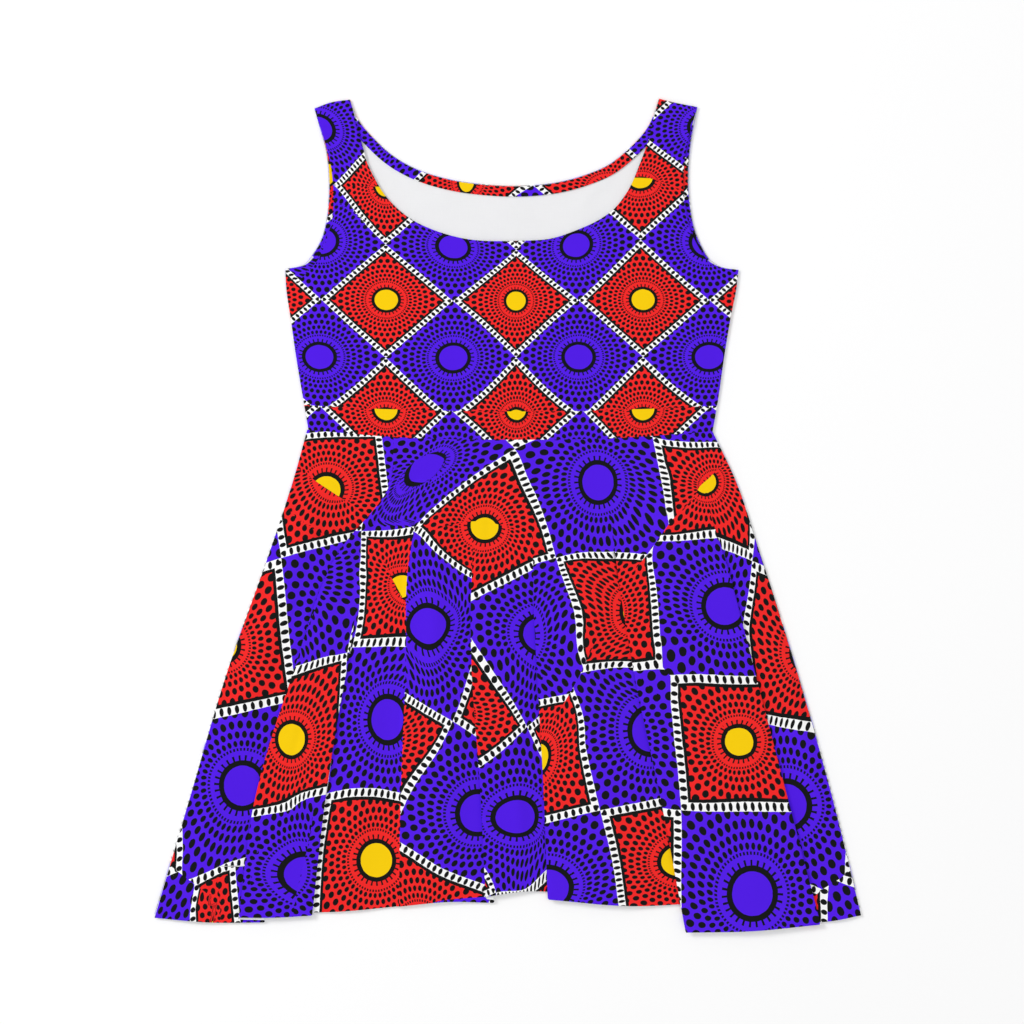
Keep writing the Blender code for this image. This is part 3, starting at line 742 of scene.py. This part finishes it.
def build_facing(name, outline, first, last, inward, count, read, materials):
    """A strip of constant width on the inside of the back, along part of one edge."""
    edge = along(outline, first + (last - first) * edged(count, FACING_END))
    direction = unit(np.gradient(edge, axis=0))
    side = columns_of(-direction[:, 1], direction[:, 0]) * inward
    share = np.linspace(0, 1, len(edge))
    wave = sum(height * np.sin(share * angle + phase) for height, angle, phase in FACING_WAVES)
    rows = []
    for distance in FACING_ROWS:
        middle = math.sin(math.pi * (distance - FACING_INSET) / (FACING_WIDTH - FACING_INSET))
        level = WALL + SEAM_GAP + BAND_WALL / 2 + wave * middle * FACING_SOFTNESS
        rows.append(np.concatenate([edge + side * distance, level[:, None]], axis=1))
    grid = np.stack(rows[::-1] if inward < 0 else rows)
    board = with_size(read(*to_chart(grid)))
    piece = shell(name + "_cloth", grid, FACING_CLOTH, board, None, True, materials)
    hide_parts(name)
    return piece


# --- the skirt ---

ARC_STEPS, SKIRT_ROWS, PANEL_STEPS = 8, 150, 20
ROW_EDGE, SIDE_EDGE = 0.0009, 0.004  # shares of the first and last steps of rows and of columns
RISE_RUN = 0.22  # share of the skirt over which a fold rises
LAP_POWER = 0.7  # how early a fold's overlap widens below where it closes
FOLD_CLEAR, FREE_SHARE = 5.0, 0.45  # how far the cloth lies level beside a fold, and at most what share
AIR_RUN, FREE_RUN = 0.4, 0.22
WAIST_STILL, HEM_STILL = 0.05, 0.02
SKIRT_FADE, SKIRT_LOWEST, SKIRT_HIGHEST = 60.0, -0.75, 2.8
SKIRT_WAVES = [(150, 10, 0.9, 0.16), (95, -14, 2.6, 0.10), (210, 80, 0.2, 0.14)]
HEM_TURN_MARGIN = 7.0
SAME_PLACE = 1e-3  # in squares: less than this across a fold is one uncut print

# Soft drapes of the skirt front: x, y points from the waist down, width, height.
SKIRT_CREASES = [
    ([(-196, 60), (-222, -20), (-262, -130), (-300, -260)], 13.0, 1.8),
    ([(-160, 70), (-196, -30), (-240, -150), (-276, -280)], 11.0, -1.4),
    ([(-190, -60), (-214, -150), (-244, -241), (-262, -330), (-272, -410)], 9.0, 1.6),
    ([(-210, -190), (-228, -238), (-240, -290)], 5.5, -1.0),
    ([(-84, 66), (-118, 10), (-140, -70), (-152, -140)], 9.0, -1.4),
    ([(-60, 40), (-76, -40), (-80, -140), (-84, -240)], 12.0, 1.8),
    ([(-150, -180), (-158, -270), (-166, -350), (-168, -415)], 13.0, 1.8),
    ([(-12, 70), (-14, 0), (-10, -80), (0, -160)], 11.0, -1.6),
    ([(-66, -160), (-62, -240), (-66, -330), (-70, -405)], 12.0, 1.6),
    ([(60, 66), (74, 0), (88, -80), (98, -160)], 13.0, 1.8),
    ([(98, 72), (104, 20), (112, -40), (120, -110)], 7.0, -1.8),
    ([(72, -120), (88, -220), (104, -320), (112, -405)], 11.0, 1.4),
    ([(150, 66), (164, 0), (182, -90), (200, -190)], 13.0, 1.8),
    ([(190, -80), (214, -180), (236, -290), (252, -420)], 14.0, -1.6),
    ([(190, 60), (206, 10), (222, -50), (244, -120)], 8.0, -1.2),
    ([(262, -20), (290, -110), (314, -210), (340, -330)], 10.0, 1.6),
    ([(-300, -200), (-318, -290), (-334, -380)], 11.0, 1.6),
    ([(6, -200), (10, -280), (14, -350), (16, -400)], 8.0, 1.2),
]


def fold_section(overlap, height, closing):
    """Offsets across and up through one fold, for a fold whose right side lies on top."""
    angle = np.radians(np.linspace(-90.0, 90.0, ARC_STEPS + 1))
    radius = height / 4
    first = columns_of(overlap / 2 + radius * np.cos(angle), radius * (1 + np.sin(angle)))
    second = columns_of(-overlap / 2 - radius * np.cos(angle), radius * (3 + np.sin(angle)))
    folded = np.concatenate([first, [[0.0, height / 2]], second])
    t = even(len(folded) - 1)
    step = columns_of((t - 0.5) * FOLD_START_WIDTH, height * smooth(t))
    return step * (1 - closing) + folded * closing


def fold_at(v, on_top, begins, closes, overlap, height, line):
    """How much room a fold takes at one height of the skirt, and its section's points across and up."""
    rise = smooth((v - begins) / RISE_RUN) * height
    closing = smooth((v - begins) / (closes - begins))
    lap = overlap * np.clip((v - closes) / (1 - closes), 0.0, 1.0) ** LAP_POWER
    section = fold_section(lap, rise, closing)
    if on_top < 0:
        section[:, 1] = rise - section[:, 1]
    centre = hermite(FRACTIONS, line, [v])[0] + on_top * (lap / 2 + closing * height / 4)
    return lap + FOLD_CLEAR, section + [centre, 0.0]


def panel_at(v, k, before, after):
    """One panel's points at one height, from fold to fold: x, y of the hem below, z, how free of folds."""
    hem_left, hem_middle, hem_right, air = PANELS[k]
    (room_before, start), (room_after, stop) = (before[0], before[1][-1]), (after[0], after[1][0])
    span = stop[0] - start[0]
    clear_start = min(room_before / span, FREE_SHARE)
    clear_stop = max(1 - room_after / span, 1 - FREE_SHARE)
    s = even(PANEL_STEPS)
    if k == 0:
        s = np.concatenate([[0.0, SIDE_EDGE], s[1:]])
    if k == len(PANELS) - 1:
        s = np.concatenate([s[:-1], [1 - SIDE_EDGE, 1.0]])
    free = (s - clear_start) / (clear_stop - clear_start)
    z = start[1] + (stop[1] - start[1]) * smooth(free)
    z = z + air * smooth(v / AIR_RUN) * np.sin(np.pi * np.clip(free, 0, 1)) ** 2
    hem = hermite([0.0, 0.5, 1.0], [hem_left, hem_middle, hem_right], s)
    return columns_of(start[0] + span * s, hem, z, from_ends(free, FREE_RUN))


def skirt_row(v):
    """One row of the skirt front: its points, how free each is of folds, and the two panels by it."""
    left, right = (
        (0.0, np.array([[hermite(FRACTIONS, SIDE_LINES[side], [v])[0], 0.0]])) for side in ("left", "right"))
    crossings = [left, *(fold_at(v, *fold) for fold in FOLDS), right]
    parts, owners = [], []
    for k, (before, after) in enumerate(zip(crossings, crossings[1:])):
        parts.append(panel_at(v, k, before, after))
        owners += [(k, k)] * len(parts[-1])
        if k < len(FOLDS):
            section = after[1][1:-1]
            share = even(len(section) + 1)[1:-1]
            hem = PANELS[k][2] + (PANELS[k + 1][0] - PANELS[k][2]) * share
            parts.append(columns_of(section[:, 0], hem, section[:, 1], np.zeros(len(section))))
            owners += [(k, k + 1)] * len(section)
    x, hem, z, free = np.concatenate(parts).T
    waist_x, waist_y = np.array(WAIST).T
    waist = hermite(waist_x, waist_y, np.clip(x, waist_x[0], waist_x[-1]))
    points = columns_of(x, waist + (hem - waist) * v, FRONT_LEVEL + z)
    return points, free * (smooth(v / WAIST_STILL) * smooth((1 - v) / HEM_STILL + 0.5)), owners


def skirt_front():
    """Grid of middle points of the skirt front, how free each is of folds, and each column's two panels."""
    rows = [skirt_row(v) for v in edged(SKIRT_ROWS, ROW_EDGE)[::-1]]
    grid, free, owners = zip(*rows)
    return np.stack(grid), np.stack(free), np.array(owners[0])


def panel_reader(k, top, charts):
    """The chart of one panel, which turns into the common one above, or the second's into the third's."""
    upper = panel_reader(2, top, charts) if k == 1 else top
    start, stop = CHART_TURNS[k]

    def read(x, y):
        share = smooth((y - start) / (stop - start))[..., None]
        return upper(x, y) * (1 - share) + charts[k](x, y) * share
    return read


def with_hem_turns(k, x, y, here, before, after, past):
    """What laid() gives for a panel, with the other parts of the board that lie on top at its hem."""
    for panel, axis, step_p, wide, edge in HEM_TURNS:
        if panel == k:
            edge_along, edge_across = np.array(edge).T
            along_edge, across_edge = (x, y) if axis == 0 else (y, x)
            beyond = across_edge - np.interp(along_edge, edge_along, edge_across)
            strip = (beyond > -HEM_TURN_MARGIN) & (beyond < wide)
            strip &= (along_edge > edge_along[0]) & (along_edge < edge_along[-1])
            turned = here + [step_p, 0.0]
            before = np.where(strip[..., None], here, before)
            after = np.where(strip[..., None], turned, after)
            past = np.where(strip, beyond, past)
            here = np.where((strip & (beyond > 0))[..., None], turned, here)
    return here, before, after, past


def skirt_board(grid, owners):
    """Places on the board for every point of the skirt front, from the chart of the panel that it is on."""
    x, y = to_chart(grid)
    top = chart_of(TOP_CHART, TOP_MOTIFS)
    charts = [chart_of(knots, motifs) for knots, motifs in zip(SKIRT_CHARTS, SKIRT_MOTIFS)]
    board = np.zeros((*x.shape, 2))
    second = np.zeros((*x.shape, 3))
    own = {}
    for k in range(len(charts)):
        columns = np.where((owners == k).any(axis=1))[0]
        places = x[:, columns], y[:, columns]
        tucks = [row for panels, *row in TUCKS if k in panels]
        layers = laid(panel_reader(k, top, charts), *places, tucks)
        here, before, after, past = with_hem_turns(k, *places, *layers)
        near = by_edges(past)[..., None]
        before, after = np.where(near, before, here), np.where(near, after, here)
        mine = (owners[columns] == k).all(axis=1)
        board[:, columns[mine]] = before[:, mine]
        second[:, columns[mine], :2] = after[:, mine]
        second[:, columns[mine], 2] = past[:, mine]
        for n, column in enumerate(columns.tolist()):
            own[k, column] = here[:, n], before[:, n], after[:, n], past[:, n]
    for k, (on_top, *_) in enumerate(FOLDS):
        crest = (ARC_STEPS + 1 + ARC_STEPS // 2) if on_top > 0 else (ARC_STEPS // 2 - 1)
        for n, column in enumerate(np.where((owners == (k, k + 1)).all(axis=1))[0]):
            left, before, after, past = own[k, column]
            right = own[k + 1, column][0]
            by_crest = abs(n - crest) <= 1
            board[:, column] = left if (by_crest or n < crest) else right
            second[:, column, :2] = right if (by_crest or n > crest) else left
            second[:, column, 2] = n - crest
            one_cloth = np.abs(left - right).max(axis=-1) < SAME_PLACE
            board[one_cloth, column] = before[one_cloth]
            second[one_cloth, column, :2] = after[one_cloth]
            second[one_cloth, column, 2] = past[one_cloth]
    return with_size(board), second


def build_skirt_front(materials):
    grid, free, owners = skirt_front()
    board, past = skirt_board(grid, owners)
    x, y = grid[..., 0], grid[..., 1]
    soft = relief(x, y, SKIRT_CREASES, SKIRT_FADE) + wandering(x, y, SKIRT_WAVES)
    grid[..., 2] += np.clip(soft, SKIRT_LOWEST, SKIRT_HIGHEST) * free
    piece = shell("skirt_front_cloth", grid, CLOTH, board, past, True, materials)
    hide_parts("skirt_front")
    return piece


# Shallow drapes of the skirt back: x, y points, width, height.
BACK_DRAPES = [
    ([(-150, 60), (-199, -170), (-260, -400)], 12.0, 0.5),
    ([(-84, 64), (-111, -168), (-150, -400)], 10.0, 0.45),
    ([(-20, 70), (-24, -160), (-40, -390)], 12.0, 0.5),
    ([(46, 66), (62, -164.5), (66, -395)], 11.0, 0.45),
    ([(110, 62), (151, -171.5), (180, -405)], 12.0, 0.5),
    ([(170, 58), (236, -176), (290, -410)], 10.0, 0.45),
]
BACK_STEPS, BACK_SIDE_EDGE = 120, 0.0012
BACK_FADE, BACK_HIGHEST = 70.0, 0.55
BACK_SIDE_STILL, BACK_HEM_STILL = 0.04, 0.03
# The board on the back, which no photo shows: where it starts, a square's size in mm down and across, and
# how much wider the squares get further down.
BACK_TOP, BACK_DOWN, BACK_ACROSS, BACK_START = 88.0, 128.0, 112.0, (-0.1, 0.5)
BACK_FLARE, BACK_FLARE_END, BACK_FLARE_ROWS = 0.72, 4.2, 4.1


def build_skirt_back(materials):
    u, v = edged(BACK_STEPS, BACK_SIDE_EDGE), edged(BACK_STEPS, ROW_EDGE)
    waist, hem = along(WAIST, u), along(HEM_BACK, u)
    sides = []
    for side, end in (("left", 0), ("right", -1)):
        level = waist[end, 1] + (hem[end, 1] - waist[end, 1]) * (1 - v)
        sides.append(columns_of(hermite(FRACTIONS, SIDE_LINES[side], 1 - v), level))
    left, right = sides
    waist[0], waist[-1], hem[0], hem[-1] = left[-1], right[-1], left[0], right[0]
    plan = filled(hem, waist, left, right, u, v)
    x, y = plan[..., 0], plan[..., 1]
    inner = from_ends(u, BACK_SIDE_STILL)[None, :] * from_ends(v, BACK_HEM_STILL)[:, None]
    soft = relief(x, y, BACK_DRAPES, BACK_FADE)
    grid = raised(plan, WALL / 2 + np.clip(soft, 0, BACK_HIGHEST) * inner)
    down = (BACK_TOP - y) / BACK_DOWN
    flare = 1.0 + BACK_FLARE * np.clip(down, 0, BACK_FLARE_END) / BACK_FLARE_ROWS
    board = with_size(columns_of(down + BACK_START[0], x / (BACK_ACROSS * flare) + BACK_START[1]))
    piece = shell("skirt_back_cloth", grid, CLOTH, board, None, False, materials)
    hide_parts("skirt_back")
    return piece


# --- materials ---

# The motif in the middle of each square. Radii and widths are shares of its fine ring's radius.
FINE_RING = 0.269  # of a square's side, on a purple square
DISC, RING = 0.56, (0.556, 0.706)
TEETH, TEETH_SPAN, TOOTH_HALF = 27, (0.69, 0.845), 0.16
FINE_DOTS, FINE_HALF_WIDTH, FINE_HALF_LENGTH = 63, 0.037, 0.27
# Rings of dots outside it: dots in a turn, the first ring's radius, the step from ring to ring in the
# logarithm of the radius and how that step shrinks, and half a dot's size as shares of the steps.
DOTS, DOT_START, DOT_STEP, DOT_SHRINK = 42, 1.152, 0.18, 0.188
DOT_ACROSS, DOT_ALONG = 0.385, 0.335
# The border of a red square, in squares: the white band, the black line inside it, and the beads on it.
BAND, LINE = 0.056, 0.079
BEADS, BEAD_LINE, BEAD_ALONG, BEAD_ACROSS = 17, 0.028, 0.27, 0.0265
WANDER_SCALE, WANDER = 160.0, 0.006  # unevenness of the print, in squares

THREAD = 0.00084  # metres from a thread to the next but one
SLUB, SLUB_ALONG, SLUB_ACROSS = 1.6, 60.0, 900.0
# How much the low places of the weave darken the colour, which is painted shade; how much the yarn's thickness
# changes its tone; and the tone that is left.
WEAVE_PAINTED_SHADE, TONE_YARN, TONE_BASE = 0.05, 0.06, 0.945
BUMP_STRENGTH, BUMP_DEPTH, BUMP_YARN = 0.35, 0.00012, 0.6
PRINT_ROUGHNESS, REVERSE_ROUGHNESS, ROUGHNESS_CHANGE = 0.74, 0.80, 0.10
CLOTH_SHINE = {"Specular IOR Level": 0.09, "Sheen Weight": 0.03, "Sheen Roughness": 0.5}
REVERSE_CLOUD = 0.965


def operator(operation, swapped=False):
    """An arithmetic operator of Value, which is one math node."""
    def apply(self, other):
        return math_node(operation, other, self) if swapped else math_node(operation, self, other)
    return apply


class Value:
    """A number or a colour that flows through a material's nodes; numbers take plain arithmetic."""

    tree = None
    __add__, __radd__ = operator("ADD"), operator("ADD", True)
    __sub__, __rsub__ = operator("SUBTRACT"), operator("SUBTRACT", True)
    __mul__, __truediv__ = operator("MULTIPLY"), operator("DIVIDE")
    __lt__, __gt__ = operator("LESS_THAN"), operator("GREATER_THAN")

    def __init__(self, socket):
        self.socket = socket


def set_inputs(node, inputs):
    """Wire a node's inputs to Values, or set them to numbers."""
    for name, value in inputs.items():
        if isinstance(value, Value):
            Value.tree.links.new(value.socket, node.inputs[name])
        else:
            node.inputs[name].default_value = value


def add_node(kind, inputs, output=0, **settings):
    """The output of a new node in the material at hand."""
    node = Value.tree.nodes.new("ShaderNode" + kind)
    for name, setting in settings.items():
        setattr(node, name, setting)
    set_inputs(node, inputs)
    return Value(node.outputs[output])


def math_node(operation, *values):
    return add_node("Math", dict(enumerate(values)), operation=operation)


absolute, fraction, floor_of = (partial(math_node, name) for name in ("ABSOLUTE", "FRACT", "FLOOR"))
larger, remainder = partial(math_node, "MAXIMUM"), partial(math_node, "FLOORED_MODULO")


def within(value, span):
    """1 between the two ends of a span, otherwise 0."""
    return (value > span[0]) * (value < span[1])


def either(share, one, two):
    """one where share is 0, two where it is 1."""
    return one + (two - one) * share


def mix_colour(share, one, two, blend="MIX"):
    """One colour where share is 0, the other where it is 1."""
    one, two = [colour if isinstance(colour, Value) else (*colour, 1.0) for colour in (one, two)]
    return add_node("Mix", {0: share, 6: one, 7: two}, output=2, data_type="RGBA", blend_type=blend)


def split(vector):
    """The three parts of a vector."""
    node = Value.tree.nodes.new("ShaderNodeSeparateXYZ")
    set_inputs(node, {0: vector})
    return [Value(socket) for socket in node.outputs]


def attribute(name):
    return split(add_node("Attribute", {}, "Vector", attribute_type="GEOMETRY", attribute_name=name))


def object_place():
    return add_node("TexCoord", {}, "Object")


def noise(scale, detail=2.0, stretch=None):
    place = object_place()
    if stretch:
        place = add_node("Mapping", {"Vector": place, "Scale": stretch})
    return add_node("TexNoise", {"Vector": place, "Scale": scale, "Detail": detail, "Roughness": 0.5})


def weave():
    """Height of a plain weave, 0 to 1, with uneven threads, and how thick the yarn is here."""
    x, y, _ = split(object_place())
    slub_x = noise(1.0, stretch=(SLUB_ACROSS, SLUB_ALONG, SLUB_ALONG))
    slub_y = noise(1.0, stretch=(SLUB_ALONG, SLUB_ACROSS, SLUB_ALONG))
    step = 2 * math.pi / THREAD
    warp = math_node("SINE", x * step + slub_x * SLUB)
    weft = math_node("SINE", y * step + slub_y * SLUB)
    return warp * weft * 0.5 + 0.5, (slub_x + slub_y) * 0.5


def new_material(name):
    """A material, now the one at hand, and its shader."""
    material = bpy.data.materials.new(name)
    material.use_nodes = True
    Value.tree = material.node_tree
    return material, material.node_tree.nodes["Principled BSDF"]


def finish_cloth(shader, colour, roughness):
    """The colour on woven cotton, with painted shade where the weave lies low and a tone that follows the
    yarn's thickness; rough, with a little sheen.
    """
    height, yarn = weave()
    # Painted shade: the colour darkens where the weave lies low, between the threads.
    tone = height * WEAVE_PAINTED_SHADE + yarn * TONE_YARN + TONE_BASE
    grey = add_node("CombineColor", dict.fromkeys(range(3), tone))
    bump = {"Strength": BUMP_STRENGTH, "Distance": BUMP_DEPTH, "Height": height + yarn * BUMP_YARN}
    set_inputs(shader, {
        "Base Color": mix_colour(1.0, colour, grey, "MULTIPLY"),
        "Roughness": noise(45.0) * ROUGHNESS_CHANGE + roughness,
        "Normal": add_node("Bump", bump), **CLOTH_SHINE,
    })


def motif(x, y, radius):
    """What is black and what is disc in a square: the place from its middle, and its fine ring's radius."""
    r = math_node("SQRT", x * x + y * y) / radius
    turn = math_node("ARCTAN2", y, x) * (1.0 / (2 * math.pi))
    teeth = within(r, TEETH_SPAN) * (absolute(fraction(turn * TEETH) - 0.5) < TOOTH_HALF)
    fine = absolute(fraction(turn * FINE_DOTS) - 0.5) < FINE_HALF_LENGTH
    fine = (absolute(r - 1.0) < FINE_HALF_WIDTH) * fine
    out = math_node("LOGARITHM", larger(r, 0.01) * (1 / DOT_START), math.e)
    out = out * (out * DOT_SHRINK + 1.0) * (1 / DOT_STEP)
    ring = larger(floor_of(out + 0.5), 0.0)
    along_ring = (fraction(turn * DOTS + remainder(ring, 2.0) * 0.5) - 0.5) * (1 / DOT_ALONG)
    across_ring = (out - ring) * (1 / DOT_ACROSS)
    dots = (across_ring * across_ring + along_ring * along_ring) < 1.0
    return larger(larger(within(r, RING), teeth), larger(fine, dots)), r < DISC


def border(x, y):
    """The white band, the black line with it, and the beads, around a square."""
    away_x, away_y = absolute(x), absolute(y)
    inside = 0.5 - larger(away_x, away_y)
    run = (fraction((either(away_x > away_y, x, y) + 0.5) * BEADS) - 0.5) * (1 / BEAD_ALONG)
    out = (inside - BEAD_LINE) * (1 / BEAD_ACROSS)
    return inside < BAND, inside < LINE, (run * run + out * out) < 1.0


def print_cloth():
    """The printed side: a disc in a toothed ring in every square, in rings of dots that grow outwards."""
    material, shader = new_material("wax_print_cotton")
    p, q, size = attribute("board")
    p_past, q_past, past = attribute("board_past")
    beyond = past > 0.0
    wander = (noise(WANDER_SCALE, 1.0) - 0.5) * WANDER
    p = either(beyond, p, p_past) + wander
    q = either(beyond, q, q_past) - wander
    i, j = floor_of(p + 0.5), floor_of(q + 0.5)
    x, y = p - i, q - j
    red = 1.0 - (absolute(remainder(i + j, 2.0)) > 0.5)
    drawn, disc = motif(x, y, either(red, 1.0, size) * FINE_RING)
    band, line, bead = border(x, y)
    band, line = band * red, line * red
    colour = mix_colour(red, INK["purple"], INK["red"])
    colour = mix_colour(disc * (1.0 - line), colour, mix_colour(red, INK["purple_disc"], INK["yellow"]))
    colour = mix_colour(band, colour, INK["white"])
    colour = mix_colour(either(line, drawn, either(band, line, bead)), colour, INK["black"])
    finish_cloth(shader, colour, PRINT_ROUGHNESS)
    return material


def reverse_cloth():
    """The unprinted side, faintly cloudy."""
    material, shader = new_material("unprinted_cotton")
    colour = mix_colour(noise(24.0, 3.0), REVERSE, [REVERSE_CLOUD * part for part in REVERSE])
    finish_cloth(shader, colour, REVERSE_ROUGHNESS)
    return material


# --- the dress ---

NECK_RUN, ARMHOLE_RUN = (0.05, 0.95), (0.17, 0.90)  # shares of the edges that the facings take
NECK_STEPS, ARMHOLE_STEPS = 160, 60

sides = (print_cloth(), reverse_cloth())
bodice_back = build_bodice_back(sides)
bodice_front = build_bodice_front(sides)
skirt_back = build_skirt_back(sides)
skirt_front_piece = build_skirt_front(sides)
neck_facing = build_facing("neck_facing_back", NECK_BACK, *NECK_RUN, -1, NECK_STEPS, neck_facing_board, sides)
left_facing = build_facing(
    "armhole_facing_left", ARMHOLE_LEFT_BACK, *ARMHOLE_RUN, -1, ARMHOLE_STEPS, left_facing_board, sides)
right_facing = build_facing(
    "armhole_facing_right", ARMHOLE_RIGHT_BACK, *ARMHOLE_RUN, 1, ARMHOLE_STEPS, right_facing_board, sides)

pieces = [bodice_back, bodice_front, skirt_back, skirt_front_piece, neck_facing, left_facing, right_facing]
for piece in pieces:
    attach(piece, "root")


# --- floor, light and camera, in metres ---

FLOOR_HALF, FLOOR_LEVEL = 4.0, -0.0002
FLOOR_TONES = (0.982, 0.982, 0.984), (0.990, 0.990, 0.991)
ROOM_LIGHT = 0.66
# Square lights that aim at the dress: name, place, side, power in watts.
LIGHTS = [("window", (-3.4, 2.2, 2.96), 1.5, 110.0), ("ceiling", (0.6, -0.4, 3.2), 2.4, 15.5)]
# The camera looks straight down from here; this lens takes in CHART_UNIT for each pixel of the photo.
CAMERA_PLACE, CAMERA_SENSOR, CAMERA_LENS, CAMERA_REACH = (0.00432, 0.0041, 6.0), 36.0, 195.31, 50.0


def placed(name, data, location):
    thing = bpy.data.objects.new(name, data)
    thing.location = location
    bpy.context.collection.objects.link(thing)
    return thing


def build_floor():
    mesh = bpy.data.meshes.new("floor")
    corners = [(-1, -1), (1, -1), (1, 1), (-1, 1)]
    mesh.from_pydata([(x * FLOOR_HALF, y * FLOOR_HALF, FLOOR_LEVEL) for x, y in corners], [], [(0, 1, 2, 3)])
    material, shader = new_material("pale_floor")
    set_inputs(shader, {
        "Base Color": mix_colour(noise(3.0), *FLOOR_TONES), "Roughness": 0.9, "Specular IOR Level": 0.1,
    })
    mesh.materials.append(material)
    return placed("floor", mesh, (0.0, 0.0, 0.0))


def area_light(name, place, side, power):
    data = bpy.data.lights.new(name, "AREA")
    data.shape = "SQUARE"
    data.size = side
    data.energy = power
    direction = -np.array(place) / np.linalg.norm(place)
    turn = math.atan2(direction[1], direction[0]) - math.pi / 2
    placed(name, data, place).rotation_euler = (math.acos(-direction[2]), 0.0, turn)


floor = build_floor()

scene = bpy.context.scene
scene.world = bpy.data.worlds.new("soft_room")
scene.world.use_nodes = True
background = scene.world.node_tree.nodes["Background"].inputs
background["Color"].default_value = (1.0, 1.0, 1.0, 1.0)
background["Strength"].default_value = ROOM_LIGHT
for light in LIGHTS:
    area_light(*light)

camera_data = bpy.data.cameras.new("camera")
camera_data.sensor_width = CAMERA_SENSOR
camera_data.lens = CAMERA_LENS
camera_data.clip_end = CAMERA_REACH
scene.camera = placed("camera", camera_data, CAMERA_PLACE)
scene.view_settings.view_transform = "Standard"
